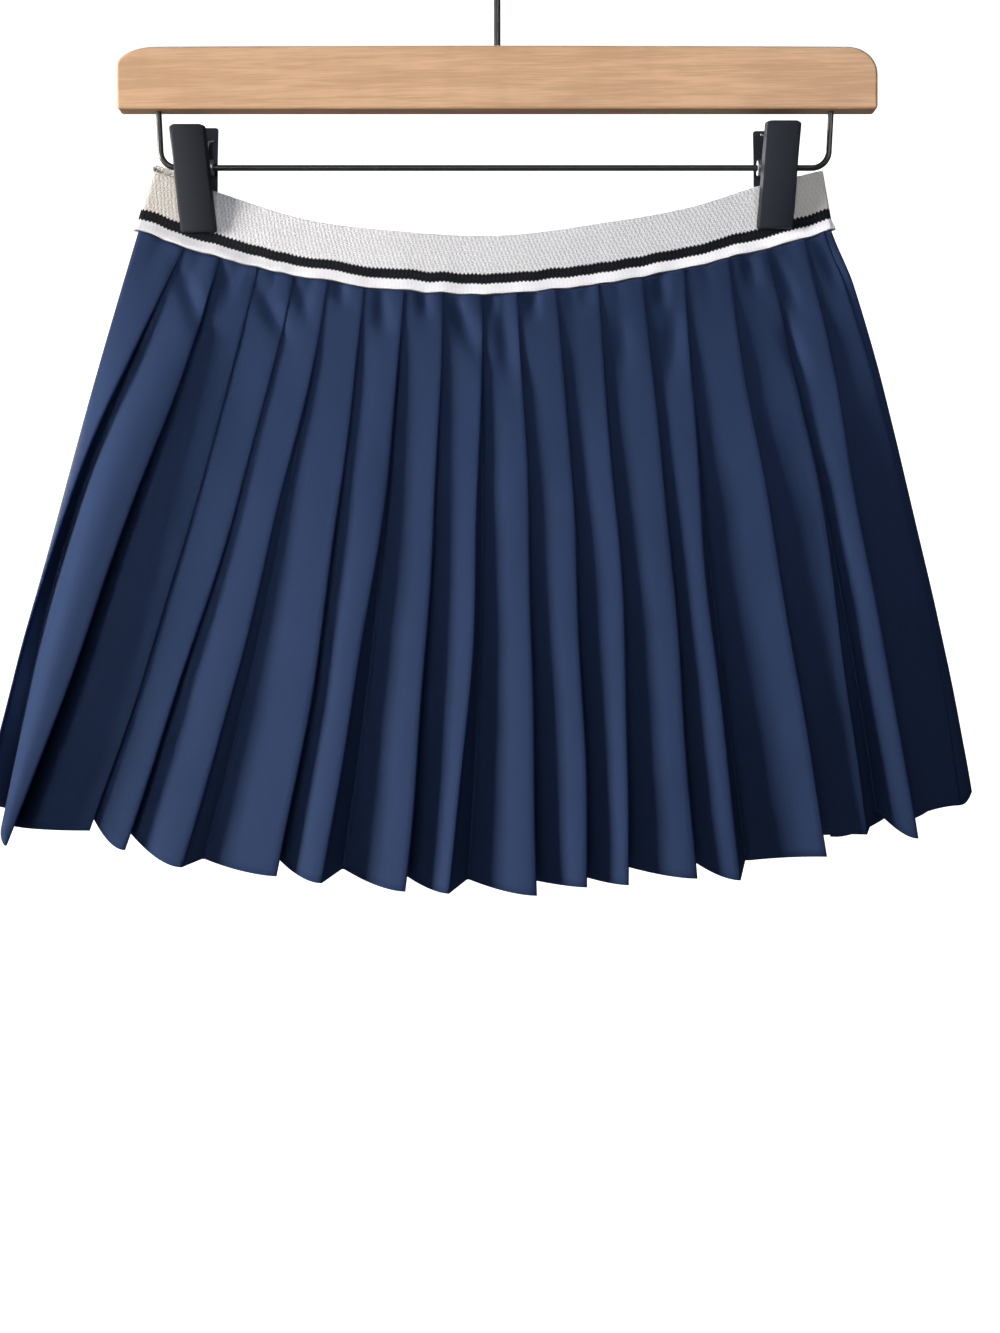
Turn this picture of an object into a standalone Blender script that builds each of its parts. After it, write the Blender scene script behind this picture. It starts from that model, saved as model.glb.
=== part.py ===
"""Pleated tennis skort hung from a wooden clip hanger.

Metres, +Z up, +X to the right of the garment as it faces -Y. The origin is the
point inside the top of the hook where a rail carries the hanger.
The sizes below are in millimetres and are turned into metres as meshes are made.
"""

import math

import bmesh
import bpy
import numpy as np
from mathutils import Matrix, Vector

MM = 0.001
SEAM_GAP = 0.3            # sewn pieces stand this far apart
BAND_SEAM_GAP = 0.8       # the same under the band, whose lower edge is curved

# ---- hanger -------------------------------------------------------------------
BAR_LENGTH = 379.0
BAR_HEIGHT = 31.2
BAR_DEPTH = 12.0
BAR_TOP_Z = -81.7
BAR_SHOULDER = 13.0       # radius of the two upper corners
BAR_FOOT = 2.0            # radius of the two lower corners
BAR_EDGE = 1.2            # rounding of the long edges

HOOK_WIRE = 3.5
HOOK_INNER_RADIUS = 20.0
HOOK_NECK_RADIUS = 12.0   # the turn from the stem into the round of the hook
HOOK_MOUTH_ANGLE = 205.0  # where the free end stops, counted from +X
HOOK_SEAT = 18.0          # depth of the stem in the bar

RAIL_WIRE = 3.0
RAIL_LEFT_X = -168.8
RAIL_RIGHT_X = 166.4
RAIL_Z = -141.0
RAIL_BEND = 8.5
RAIL_SEAT = 11.0          # depth of each leg in the bar

HOLE_CLEARANCE = 0.3

# ---- clips --------------------------------------------------------------------
CLIP_WIDTH = 17.2
SPRING_RADIUS = 4.2
SPRING_LENGTH = 14.0
SPRING_BORE = 3.8
SPRINGS = (
    # name, centre x on the rail
    ("clip_left_spring", -150.7),
    ("clip_right_spring", 139.2),
)
JAWS = (
    # name, side of the rail (-1 front, 1 back), centre x at the rail, lift, lean in degrees
    ("clip_left_front_jaw", -1, -151.8, -1.0, 5.7),
    ("clip_left_back_jaw", 1, -149.3, 1.5, 0.0),
    ("clip_right_front_jaw", -1, 140.7, 0.8, -4.1),
    ("clip_right_back_jaw", 1, 137.9, 0.0, 0.0),
)
JAW_PROFILE = (
    # forward of the rail, above the rail: side view of a front jaw
    (4.6, 3.0), (7.4, 20.5), (9.6, 20.5), (9.4, 4.0), (8.6, -14.0),
    (5.6, -32.0), (2.5, -32.0), (2.5, -25.0), (4.4, -21.0), (4.6, -3.0),
)
JAW_EDGE = 0.5            # rounding of a jaw's edges

# ---- waistband ----------------------------------------------------------------
BAND_THICKNESS = 1.8
BAND_EDGE = (
    # upper x, upper z, lower x, lower z, half depth above, half depth below
    (-170.0, -143.5, -179.0, -172.5, 1.3, 2.6),
    (-140.0, -153.3, -147.0, -183.8, 1.2, 3.8),
    (-98.0, -167.0, -103.0, -195.0, 4.0, 5.5),
    (-48.0, -174.3, -50.0, -203.3, 7.0, 8.0),
    (0.0, -176.5, 0.0, -205.3, 7.5, 8.5),
    (50.0, -170.4, 53.0, -200.0, 6.5, 8.0),
    (100.0, -160.5, 105.0, -189.5, 3.5, 5.5),
    (129.0, -150.9, 135.0, -181.8, 1.2, 3.8),
    (161.0, -143.0, 166.0, -172.5, 1.3, 2.6),
)
BAND_GRIP = 0.8           # share of the band's height that the jaws press flat
BAND_COLUMNS = 23
ROUND_SHARE = 0.7         # where the point between a flat side and its round end lies

# ---- skirt --------------------------------------------------------------------
CLOTH = 1.0
WAIST_PLEAT = 3.0         # depth of a pleat where it is sewn to the band
WAIST_TUCK = 2.0          # how far a pleat tucks under its fold at the band
HEM_PLEAT = 17.0          # depth of a pleat at the hem
FOLD_WIDTH = 1.7          # width of the blunt end of a fold
LEVELS = (0.0, 0.12, 0.32, 0.55, 0.78, 1.0)

SIDE_SEAM = (2.6, 5.6)    # how far a panel reaches forward at its side seams: waist, hem
LEAST_TUCK = (2.3, 3.5)   # a tuck stays this far from the middle plane: waist, hem
FACE_POINTS = (0.34, 0.68)   # places across a pleat's face that give its shape
FOLD_LIE = 0.8              # how soon down the skirt a fold leans to where it lies at the hem
FACE_DROP = 1.7           # how soon the hem drops from a tuck towards its fold

# Half depth and squareness of the skirt's outline in plan
OUTLINE_DEPTH = (8.0, 27.0, 43.0)   # waist, middle, hem
WAIST_SQUARENESS = 4.0
HEM_SQUARENESS = (5.0, 2.6)   # left and right of the hook
FLARE_END = 0.4           # level by which the skirt has left the band's own outline

FRONT_SIDES = (
    # waist x, middle x, hem x, hem z
    (-178.5, -218.0, -252.0, -455.0),
    (166.5, 206.8, 236.0, -452.5),
)
FRONT_FOLDS = (
    # fold: waist x, middle x, hem x, hem z; tuck that starts its face: hem x, hem z;
    # how full the face is: under 1 it sinks, over 1 it swells;
    # how far the fold lies back at the hem
    (-156, -214, -249, -457, -251, -456, 1.6, -3),
    (-138, -183, -235, -476, -241, -460, 4.0, -9),
    (-119, -154, -198, -470, -238, -469, 3.4, 11),
    (-101, -136, -180, -479, -198, -464, 1.6, 8),
    (-84, -113, -152, -487, -179, -472, 1.4, 6),
    (-66, -82, -106, -491, -143, -484, 1.1, 3),
    (-46, -61, -84, -494, -107, -484, 1.6, 0),
    (-27, -32, -44, -498, -75, -489, 1.2, 0),
    (-7, -11, -23, -499, -45, -492, 1.1, 0),
    (10, 16, 19, -500, -14, -494, 1.35, 0),
    (29, 40, 43, -496, 16, -494, 1.3, 0),
    (50, 60, 63, -495, 40, -492, 1.2, 0),
    (72, 85, 96, -492, 60, -487, 1.3, 0),
    (93, 103, 117, -493, 92, -483, 1.5, 0),
    (115, 136, 159, -482, 122, -485, 0.95, 0),
    (135, 161, 180, -472, 155, -473, 0.7, 5),
    (153, 180, 205, -474, 187, -462, 1.6, 0),
    (163, 203, 229, -459, 201, -466, 0.6, 5),
)

# The back panel is written as seen from behind, so its x runs the other way.
BACK_SIDES = (
    (-166.5, -206.8, -236.0, -452.5),
    (178.5, 218.0, 252.0, -455.0),
)
BACK_FOLDS = (
    # the same columns as the front
    (-148, -188, -222, -461, -236, -455, 1.3, 0),
    (-129, -166, -204, -470, -219, -462, 0.8, 0),
    (-110, -138, -172, -478, -200, -465, 0.7, 3),
    (-91, -118, -146, -484, -168, -474, 1.1, 6),
    (-72, -90, -113, -489, -142, -480, 1.2, 4),
    (-53, -66, -80, -493, -110, -484, 0.9, 0),
    (-34, -45, -58, -496, -77, -488, 0.7, -2),
    (-15, -18, -22, -499, -50, -490, 1.2, 0),
    (4, 3, 2, -500, -23, -493, 1.3, 3),
    (23, 28, 36, -499, 0, -494, 1.0, 5),
    (42, 52, 60, -497, 34, -491, 0.8, 2),
    (61, 73, 88, -494, 62, -488, 1.2, 0),
    (80, 98, 112, -491, 85, -485, 1.4, 0),
    (99, 121, 147, -487, 116, -480, 0.9, 4),
    (118, 146, 172, -481, 144, -475, 1.1, 7),
    (136, 168, 203, -475, 175, -468, 0.8, 3),
    (153, 190, 224, -467, 201, -462, 1.3, 0),
    (168, 208, 244, -459, 222, -456, 1.1, -3),
)

# ---- built-in shorts ----------------------------------------------------------
SHORTS_BEHIND_BAND = 3.1  # the shorts hang this far inside the band's middle
SHORTS_HALF_DEPTH = 7.5
SHORTS_LEAST_DEPTH = 0.75
SHORTS_SEAM = 0.5         # half the space between the two edges of an inner leg seam
SHORTS_SWELL = (0.14, 0.44)   # shares of the way down between which they fill out
LEG_HEM_Z = -458.0
LEG_ROWS = (
    # share of the way down to the leg hem, outer x, inner x, openness at the centre
    (0.0, 166.0, 0.3, 1.0),
    (0.14, 167.0, 0.3, 1.0),
    (0.4, 169.0, 0.3, 1.0),
    (0.62, 171.0, 0.3, 1.0),
    (0.71, 171.0, 0.3, 0.8),
    (0.77, 171.0, 1.0, 0.0),
    (0.88, 170.0, 7.0, 0.0),
    (1.0, 168.0, 12.0, 0.0),
)
SHORTS_SHIFT = -6.0       # the waist is not quite centred under the hook
LEG_COLUMNS = 5


# ---- helpers ------------------------------------------------------------------

def clear_scene():
    for old in list(bpy.data.objects):
        bpy.data.objects.remove(old, do_unlink=True)


def material(name, colour, roughness, metallic=0.0):
    made = bpy.data.materials.new(name)
    made.use_nodes = True
    shader = made.node_tree.nodes["Principled BSDF"]
    shader.inputs["Base Color"].default_value = (*colour, 1.0)
    shader.inputs["Roughness"].default_value = roughness
    shader.inputs["Metallic"].default_value = metallic
    return made


def add_object(name, data, finish):
    data.materials.append(finish)
    placed = bpy.data.objects.new(name, data)
    bpy.context.collection.objects.link(placed)
    return placed


def object_from_bmesh(name, shape, finish):
    bmesh.ops.recalc_face_normals(shape, faces=shape.faces)
    data = bpy.data.meshes.new(name)
    shape.to_mesh(data)
    shape.free()
    return add_object(name, data, finish)


def smooth_curve(xs, ys, x):
    """Value at x of a smooth curve through the points (xs, ys)."""
    slopes = np.gradient(ys, xs)
    i = int(np.clip(np.searchsorted(xs, x) - 1, 0, len(xs) - 2))
    span = xs[i + 1] - xs[i]
    t = (x - xs[i]) / span
    start = (2 * t**3 - 3 * t**2 + 1) * ys[i] + (t**3 - 2 * t**2 + t) * span * slopes[i]
    end = (3 * t**2 - 2 * t**3) * ys[i + 1] + (t**3 - t**2) * span * slopes[i + 1]
    return start + end


def ease(t):
    t = min(max(t, 0.0), 1.0)
    return t * t * (3.0 - 2.0 * t)


def mix(a, b, t):
    return a + (b - a) * t


def plan_normals(line, closed):
    """Offset directions of a plan line, lengthened at its corners."""
    points = np.array(line)[:, :2]
    before = points - np.roll(points, 1, axis=0)
    after = np.roll(points, -1, axis=0) - points
    if not closed:
        before[0] = after[0]
        after[-1] = before[-1]
    before /= np.linalg.norm(before, axis=1)[:, None]
    after /= np.linalg.norm(after, axis=1)[:, None]
    middle = before + after
    middle /= np.linalg.norm(middle, axis=1)[:, None]
    stretch = 1.0 / np.maximum(np.sum(middle * before, axis=1), 0.5)
    return np.stack([middle[:, 1], -middle[:, 0]], axis=1) * stretch[:, None]


def cloth_wall(name, rows, thickness, finish, closed=False):
    """A wall of cloth: rows of points run along it, from its top to its hem."""
    shape = bmesh.new()
    layers = []
    for side in (0.5, -0.5):
        layer = []
        for line in rows:
            offset = plan_normals(line, closed) * thickness * side
            layer.append([
                shape.verts.new(((x + dx) * MM, (y + dy) * MM, z * MM))
                for (x, y, z), (dx, dy) in zip(line, offset)
            ])
        layers.append(layer)
    columns = len(rows[0])
    steps = columns if closed else columns - 1
    for layer in layers:
        for upper, lower in zip(layer, layer[1:]):
            for c in range(steps):
                n = (c + 1) % columns
                shape.faces.new((upper[c], upper[n], lower[n], lower[c]))
    outer, inner = layers
    for r in (0, -1):
        for c in range(steps):
            n = (c + 1) % columns
            shape.faces.new((outer[r][c], outer[r][n], inner[r][n], inner[r][c]))
    if not closed:
        for c in (0, -1):
            for r in range(len(rows) - 1):
                shape.faces.new((outer[r][c], outer[r + 1][c], inner[r + 1][c], inner[r][c]))
    return object_from_bmesh(name, shape, finish)


def arc_points(centre, radius, start, end, steps):
    return [
        (centre[0] + radius * math.cos(math.radians(mix(start, end, i / steps))),
         centre[1] + radius * math.sin(math.radians(mix(start, end, i / steps))))
        for i in range(steps + 1)
    ]


def wire(name, route, diameter, finish):
    """A round wire along a route of (x, z) points in the plane y = 0."""
    data = bpy.data.curves.new(name, "CURVE")
    data.dimensions = "3D"
    data.bevel_depth = diameter / 2 * MM
    data.bevel_resolution = 3
    data.use_fill_caps = True
    line = data.splines.new("POLY")
    line.points.add(len(route) - 1)
    for point, (x, z) in zip(line.points, route):
        point.co = (x * MM, 0.0, z * MM, 1.0)
    return add_object(name, data, finish)


def drill(target, x, diameter, low_z, high_z):
    """Cut an upright round hole in the target."""
    shape = bmesh.new()
    length = (high_z - low_z) * MM
    bmesh.ops.create_cone(
        shape, cap_ends=True, segments=16, radius1=diameter / 2 * MM,
        radius2=diameter / 2 * MM, depth=length,
        matrix=Matrix.Translation((x * MM, 0.0, low_z * MM + length / 2)))
    cutter = object_from_bmesh(target.name + "_cutter", shape, target.data.materials[0])
    cutter.hide_render = True
    cutter.display_type = "WIRE"
    cut = target.modifiers.new("hole", "BOOLEAN")
    cut.object = cutter
    cut.operation = "DIFFERENCE"


def plate(outline, low_y, high_y):
    """A flat plate: an outline of (x, z) points given a thickness along y."""
    shape = bmesh.new()
    corners = [shape.verts.new((x * MM, low_y * MM, z * MM)) for x, z in outline]
    face = shape.faces.new(corners)
    pushed = bmesh.ops.extrude_face_region(shape, geom=[face])
    moved = [v for v in pushed["geom"] if isinstance(v, bmesh.types.BMVert)]
    bmesh.ops.translate(shape, verts=moved, vec=(0.0, (high_y - low_y) * MM, 0.0))
    return shape


# ---- hanger pieces ------------------------------------------------------------

def build_bar(finish):
    half = BAR_LENGTH / 2
    low = BAR_TOP_Z - BAR_HEIGHT
    shoulder = half - BAR_SHOULDER
    foot = half - BAR_FOOT
    outline = (
        arc_points((shoulder, BAR_TOP_Z - BAR_SHOULDER), BAR_SHOULDER, 0, 90, 6)
        + arc_points((-shoulder, BAR_TOP_Z - BAR_SHOULDER), BAR_SHOULDER, 90, 180, 6)
        + arc_points((-foot, low + BAR_FOOT), BAR_FOOT, 180, 270, 2)
        + arc_points((foot, low + BAR_FOOT), BAR_FOOT, 270, 360, 2)
    )
    bar = object_from_bmesh("hanger_bar", plate(outline, -BAR_DEPTH / 2, BAR_DEPTH / 2), finish)
    edge = bar.modifiers.new("rounded edges", "BEVEL")
    edge.width = BAR_EDGE * MM
    edge.segments = 2
    edge.limit_method = "ANGLE"
    edge.angle_limit = math.radians(60)
    hole = HOOK_WIRE + 2 * HOLE_CLEARANCE
    drill(bar, 0.0, hole, BAR_TOP_Z - HOOK_SEAT - HOLE_CLEARANCE, BAR_TOP_Z + 1)
    for x in (RAIL_LEFT_X, RAIL_RIGHT_X):
        drill(bar, x, RAIL_WIRE + 2 * HOLE_CLEARANCE, low - 1, low + RAIL_SEAT + HOLE_CLEARANCE)
    return bar


def build_hook(finish):
    radius = HOOK_INNER_RADIUS + HOOK_WIRE / 2
    reach = radius + HOOK_NECK_RADIUS
    neck_z = -HOOK_INNER_RADIUS - math.sqrt(reach**2 - HOOK_NECK_RADIUS**2)
    join = math.degrees(math.atan2(neck_z + HOOK_INNER_RADIUS, HOOK_NECK_RADIUS))
    stem_foot = BAR_TOP_Z - HOOK_SEAT
    route = [(0.0, stem_foot), (0.0, BAR_TOP_Z)]
    route += arc_points((HOOK_NECK_RADIUS, neck_z), HOOK_NECK_RADIUS, 180, 180 + join, 4)
    route += arc_points((0.0, -HOOK_INNER_RADIUS), radius, join, HOOK_MOUTH_ANGLE, 24)[1:]
    return wire("hook", route, HOOK_WIRE, finish)


def build_rail(finish):
    top = BAR_TOP_Z - BAR_HEIGHT + RAIL_SEAT
    bend_z = RAIL_Z + RAIL_BEND
    route = [(RAIL_LEFT_X, top)]
    route += arc_points((RAIL_LEFT_X + RAIL_BEND, bend_z), RAIL_BEND, 180, 270, 5)
    route += arc_points((RAIL_RIGHT_X - RAIL_BEND, bend_z), RAIL_BEND, 270, 360, 5)
    route += [(RAIL_RIGHT_X, top)]
    return wire("wire_rail", route, RAIL_WIRE, finish)


def build_jaw(name, facing, centre_x, lift, lean, finish):
    """One jaw of a clip; its ends stay level while it leans."""
    outline = [(facing * forward, up) for forward, up in JAW_PROFILE]
    shape = plate(outline, -CLIP_WIDTH / 2, CLIP_WIDTH / 2)
    jaw = object_from_bmesh(name, shape, finish)
    side_view = Matrix(((0, 1, 0, 0), (1, 0, 0, 0), (0, 0, 1, 0), (0, 0, 0, 1)))
    slant = Matrix.Identity(4)
    slant[0][2] = -math.tan(math.radians(lean))
    jaw.data.transform(slant @ side_view)
    jaw.data.flip_normals()
    jaw.location = Vector((centre_x, 0.0, RAIL_Z + lift)) * MM
    edge = jaw.modifiers.new("softened edges", "BEVEL")
    edge.width = JAW_EDGE * MM
    edge.segments = 1
    edge.limit_method = "ANGLE"
    edge.angle_limit = math.radians(60)
    return jaw


def build_spring(name, centre_x, finish):
    """The barrel that holds the coil spring and slides on the rail."""
    shape = bmesh.new()
    half = SPRING_LENGTH / 2
    profile = (
        (SPRING_BORE / 2, -half), (SPRING_RADIUS - 0.6, -half), (SPRING_RADIUS, -half + 0.6),
        (SPRING_RADIUS, half - 0.6), (SPRING_RADIUS - 0.6, half), (SPRING_BORE / 2, half),
    )
    ring = [shape.verts.new((x * MM, 0.0, r * MM)) for r, x in profile]
    edges = [shape.edges.new((ring[i], ring[(i + 1) % len(ring)])) for i in range(len(ring))]
    bmesh.ops.spin(
        shape, geom=ring + edges, axis=(1, 0, 0), cent=(0, 0, 0),
        angle=math.tau, steps=16, use_merge=True)
    bmesh.ops.remove_doubles(shape, verts=shape.verts, dist=0.001 * MM)
    spring = object_from_bmesh(name, shape, finish)
    spring.location = Vector((centre_x, 0.0, RAIL_Z)) * MM
    return spring


# ---- garment pieces -----------------------------------------------------------

BAND = {
    name: np.array([row[i] for row in BAND_EDGE])
    for i, name in enumerate(
        ("upper_x", "upper_z", "lower_x", "lower_z", "upper_depth", "lower_depth"))
}


def band_value(column, lower_x):
    """A column of the waistband's table at a place along its lower edge."""
    return smooth_curve(BAND["lower_x"], BAND[column], lower_x)


def band_point(lower_x, down, facing):
    """A point on the middle of the band; down runs from 0 at the top to 1."""
    x = mix(band_value("upper_x", lower_x), lower_x, down)
    z = mix(band_value("upper_z", lower_x), band_value("lower_z", lower_x), down)
    opening = ease((down - BAND_GRIP) / (1 - BAND_GRIP))
    depth = mix(band_value("upper_depth", lower_x), band_value("lower_depth", lower_x), opening)
    return x, facing * depth, z


def build_waistband(finish):
    left, right = BAND["lower_x"][0], BAND["lower_x"][-1]
    rows = []
    for down in (0.0, BAND_GRIP / 2, BAND_GRIP, 1.0):
        line = []
        for facing, start, end in ((-1, left, right), (1, right, left)):
            end_x, end_y, end_z = band_point(start, down, facing)
            inward = math.copysign(abs(end_y), end - start)
            line.append((end_x - inward, 0.0, end_z))
            line.append((end_x - inward * ROUND_SHARE, end_y * ROUND_SHARE, end_z))
            for c in range(BAND_COLUMNS + 1):
                line.append(band_point(mix(start, end, c / BAND_COLUMNS), down, facing))
            far_x, far_y, far_z = band_point(end, down, facing)
            line.append((far_x + inward * ROUND_SHARE, far_y * ROUND_SHARE, far_z))
        rows.append(line)
    return cloth_wall("waistband", rows, BAND_THICKNESS, finish, closed=True)


def along(values, level):
    """The smooth line through a fold's waist, middle and hem places."""
    waist, middle, hem = values
    return (waist * (1 - level) * (1 - 2 * level)
            + middle * 4 * level * (1 - level)
            + hem * level * (2 * level - 1))


class Panel:
    """A pleated skirt panel, written as seen from its own side."""

    def __init__(self, sides, folds, turn):
        self.sides = sides
        self.folds = folds
        self.turn = turn      # 1 for the front panel, -1 for the back one

    def half_depth(self, x, level):
        """How far the panel's outline stands out from the middle plane."""
        waist_x = min(max(x * self.turn, BAND["lower_x"][0]), BAND["lower_x"][-1])
        at_band = band_value("lower_depth", waist_x)
        left = along(self.sides[0][:3], level)
        right = along(self.sides[1][:3], level)
        across = min(abs((2 * x - left - right) / (right - left)), 1.0)
        hem_square = HEM_SQUARENESS[0 if x * self.turn < 0 else 1]
        square = mix(WAIST_SQUARENESS, hem_square, level)
        deepest = along(OUTLINE_DEPTH, level)
        open_skirt = deepest * (1 - across**square) ** (1 / square)
        return mix(at_band, open_skirt, ease(level / FLARE_END))

    def top_z(self, x):
        lower_x = min(max(x * self.turn, BAND["lower_x"][0]), BAND["lower_x"][-1])
        return band_value("lower_z", lower_x) - BAND_SEAM_GAP

    def point(self, x, depth, waist_x, hem_z, level):
        z = mix(self.top_z(waist_x), hem_z, level)
        return x * self.turn, -depth * self.turn, z

    def row(self, level):
        """One line of points across the panel, from its left side to its right."""
        pleat = mix(WAIST_PLEAT, HEM_PLEAT, level**1.2)
        seam = mix(*SIDE_SEAM, level)
        line = []
        left_x = along(self.sides[0][:3], level)
        left_waist, left_hem_z = self.sides[0][0], self.sides[0][3]
        line.append(self.point(left_x, SEAM_GAP / 2, left_waist, left_hem_z, level))
        line.append(self.point(left_x, seam, left_waist, left_hem_z, level))
        start = (left_x, seam, left_waist, left_hem_z)
        for number, fold in enumerate(self.folds):
            fold_x = along(fold[:3], level)
            lies_back = fold[7] * level**FOLD_LIE
            fold_depth = self.half_depth(fold_x, level) + WAIST_PLEAT / 2 * (1 - level) - lies_back
            hem_z = fold[3]
            if number > 0:
                last = self.folds[number - 1]
                tuck_x = along(last[:3], level) + mix(-WAIST_TUCK, fold[4] - last[2], level)
                tuck_waist = last[0] - WAIST_TUCK
                tuck_depth = max(
                    self.half_depth(tuck_x, level) + WAIST_PLEAT / 2 * (1 - level) - pleat,
                    mix(*LEAST_TUCK, level))
                start = (tuck_x, tuck_depth, tuck_waist, fold[5])
                line.append(self.point(tuck_x - FOLD_WIDTH / 2, tuck_depth, tuck_waist,
                                       fold[5], level))
                line.append(self.point(tuck_x + FOLD_WIDTH / 2, tuck_depth, tuck_waist,
                                       fold[5], level))
            rise = fold_depth - start[1]
            fullness = mix(1.1, fold[6], ease(level / 0.5))
            for share in FACE_POINTS:
                out = 1 - (1 - share) ** fullness
                drop = 1 - (1 - share) ** FACE_DROP
                line.append(self.point(
                    mix(start[0], fold_x, share), start[1] + rise * out,
                    mix(start[2], fold[0], share), mix(start[3], hem_z, drop), level))
            line.append(self.point(fold_x - FOLD_WIDTH * 0.5, fold_depth, fold[0], hem_z, level))
            line.append(self.point(fold_x, fold_depth - FOLD_WIDTH * 0.8, fold[0], hem_z, level))
        right_x = along(self.sides[1][:3], level)
        right_waist, right_hem_z = self.sides[1][0], self.sides[1][3]
        line.append(self.point(right_x, seam, right_waist, right_hem_z, level))
        line.append(self.point(right_x, SEAM_GAP / 2, right_waist, right_hem_z, level))
        return line

    def build(self, name, finish):
        return cloth_wall(name, [self.row(level) for level in LEVELS], CLOTH, finish)


def shorts_point(x, down, share, facing):
    """A point of the shorts at x; share scales their half depth there."""
    lower_x = min(max(x, BAND["lower_x"][0]), BAND["lower_x"][-1])
    z = mix(band_value("lower_z", lower_x) - BAND_SEAM_GAP, LEG_HEM_Z, down)
    return x, facing * share * shorts_half_depth(x, down), z


def shorts_half_depth(x, down):
    lower_x = min(max(x, BAND["lower_x"][0]), BAND["lower_x"][-1])
    at_band = max(band_value("lower_depth", lower_x) - SHORTS_BEHIND_BAND, SHORTS_LEAST_DEPTH)
    start, end = SHORTS_SWELL
    return mix(at_band, SHORTS_HALF_DEPTH, ease((down - start) / (end - start)))


def build_leg(name, side, finish):
    """One leg of the shorts; side is -1 for the left one seen from the front."""
    rows = []
    for down, outer, inner, openness in LEG_ROWS:
        middle_x = SHORTS_SHIFT + side * inner
        outer_x = SHORTS_SHIFT + side * outer
        middle_depth = shorts_half_depth(middle_x, down)
        outer_depth = shorts_half_depth(outer_x, down)
        from_x = middle_x + side * middle_depth
        to_x = outer_x - side * outer_depth
        line = []
        for facing in (-1, 1):
            closed_edge = SHORTS_SEAM / middle_depth
            half = [
                shorts_point(middle_x, down, mix(closed_edge, 1.0, openness), facing),
                shorts_point(mix(middle_x, from_x, mix(1 - ROUND_SHARE, 0.5, openness)), down,
                             mix(ROUND_SHARE, 1.0, openness), facing),
            ]
            half += [
                shorts_point(mix(from_x, to_x, c / LEG_COLUMNS), down, 1.0, facing)
                for c in range(LEG_COLUMNS + 1)
            ]
            half.append(shorts_point(mix(to_x, outer_x, ROUND_SHARE), down, ROUND_SHARE,
                                     facing))
            if facing == -1:
                line += half + [shorts_point(outer_x, down, 0.0, facing)]
            else:
                line += half[::-1]
        rows.append(line)
    return cloth_wall(name, rows, CLOTH, finish)


def main():
    clear_scene()
    wood = material("bar_wood", (0.62, 0.38, 0.23), 0.5)
    black_wire = material("black_wire", (0.015, 0.015, 0.017), 0.35, 0.6)
    clip_plastic = material("clip_plastic", (0.02, 0.023, 0.035), 0.5)
    band_elastic = material("band_elastic", (0.68, 0.66, 0.66), 0.85)
    navy_cloth = material("navy_cloth", (0.02, 0.035, 0.09), 0.75)
    shorts_knit = material("shorts_knit", (0.02, 0.03, 0.075), 0.8)

    build_bar(wood)
    build_hook(black_wire)
    build_rail(black_wire)
    for name, facing, centre_x, lift, lean in JAWS:
        build_jaw(name, facing, centre_x, lift, lean, clip_plastic)
    for name, centre_x in SPRINGS:
        build_spring(name, centre_x, black_wire)
    build_waistband(band_elastic)
    Panel(FRONT_SIDES, FRONT_FOLDS, 1).build("skirt_front", navy_cloth)
    Panel(BACK_SIDES, BACK_FOLDS, -1).build("skirt_back", navy_cloth)
    build_leg("shorts_left", -1, shorts_knit)
    build_leg("shorts_right", 1, shorts_knit)


main()
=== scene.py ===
"""Looks of the pleated tennis skort on its wooden clip hanger.

Tables of the garment's shape are in millimetres, in the same frame as the CAD:
+Z up, +X to the right, the front facing -Y, the origin inside the top of the hook.
"""

import math

import bmesh
import bpy
import numpy as np
from mathutils import Matrix, Vector, noise


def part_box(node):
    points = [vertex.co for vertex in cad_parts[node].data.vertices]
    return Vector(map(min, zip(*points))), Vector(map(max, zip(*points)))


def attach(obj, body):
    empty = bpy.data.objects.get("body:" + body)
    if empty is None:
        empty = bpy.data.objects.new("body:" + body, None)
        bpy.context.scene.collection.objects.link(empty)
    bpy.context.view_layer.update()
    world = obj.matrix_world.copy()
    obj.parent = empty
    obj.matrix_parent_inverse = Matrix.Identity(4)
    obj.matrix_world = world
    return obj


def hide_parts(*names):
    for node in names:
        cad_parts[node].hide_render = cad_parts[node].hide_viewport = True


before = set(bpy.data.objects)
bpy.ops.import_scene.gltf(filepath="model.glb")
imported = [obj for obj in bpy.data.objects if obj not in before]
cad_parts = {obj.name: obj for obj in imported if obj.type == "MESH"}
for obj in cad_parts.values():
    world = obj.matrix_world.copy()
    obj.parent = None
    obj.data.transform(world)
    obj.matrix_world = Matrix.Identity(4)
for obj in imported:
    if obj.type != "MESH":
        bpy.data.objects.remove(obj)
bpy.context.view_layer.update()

MM = 0.001
BODY = "root"

# ---- camera, in metres ----
CAMERA_DISTANCE = 1.0
CAMERA_X = 0.0015
CAMERA_Z = -0.39025
VIEW_HEIGHT = 0.6665      # height of the view at the hanger
SENSOR = 36.0             # width of the sensor in millimetres

# ---- waistband ----
BAND_THICKNESS = 1.5
BAND_EDGE = (
    # upper x, upper z, lower x, lower z, half depth above, half depth below
    (-170, -143.5, -179, -172.5, 1.3, 2.6),
    (-140, -153.3, -147, -183.8, 1.2, 3.8),
    (-98, -167, -103, -195, 4, 5.5),
    (-48, -174.3, -50, -203.3, 7, 8),
    (0, -176.5, 0, -205.3, 7.5, 8.5),
    (50, -170.4, 53, -200, 6.5, 8),
    (100, -160.5, 105, -189.5, 3.5, 5.5),
    (129, -150.9, 135, -181.8, 1.2, 3.8),
    (161, -143, 166, -172.5, 1.3, 2.6),
)
BAND_GRIP = 0.8           # share of the band's height that the jaws press flat
BAND_HEIGHT = 29.0
BAND_RIM = 0.5            # how round the band's two edges are
BAND_CORNER_LIFT = 4.0    # how far the back of the band rises at its left end
BAND_CORNER_X = (-164.0, -150.0)      # where it has risen in full, and where it starts
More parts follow.
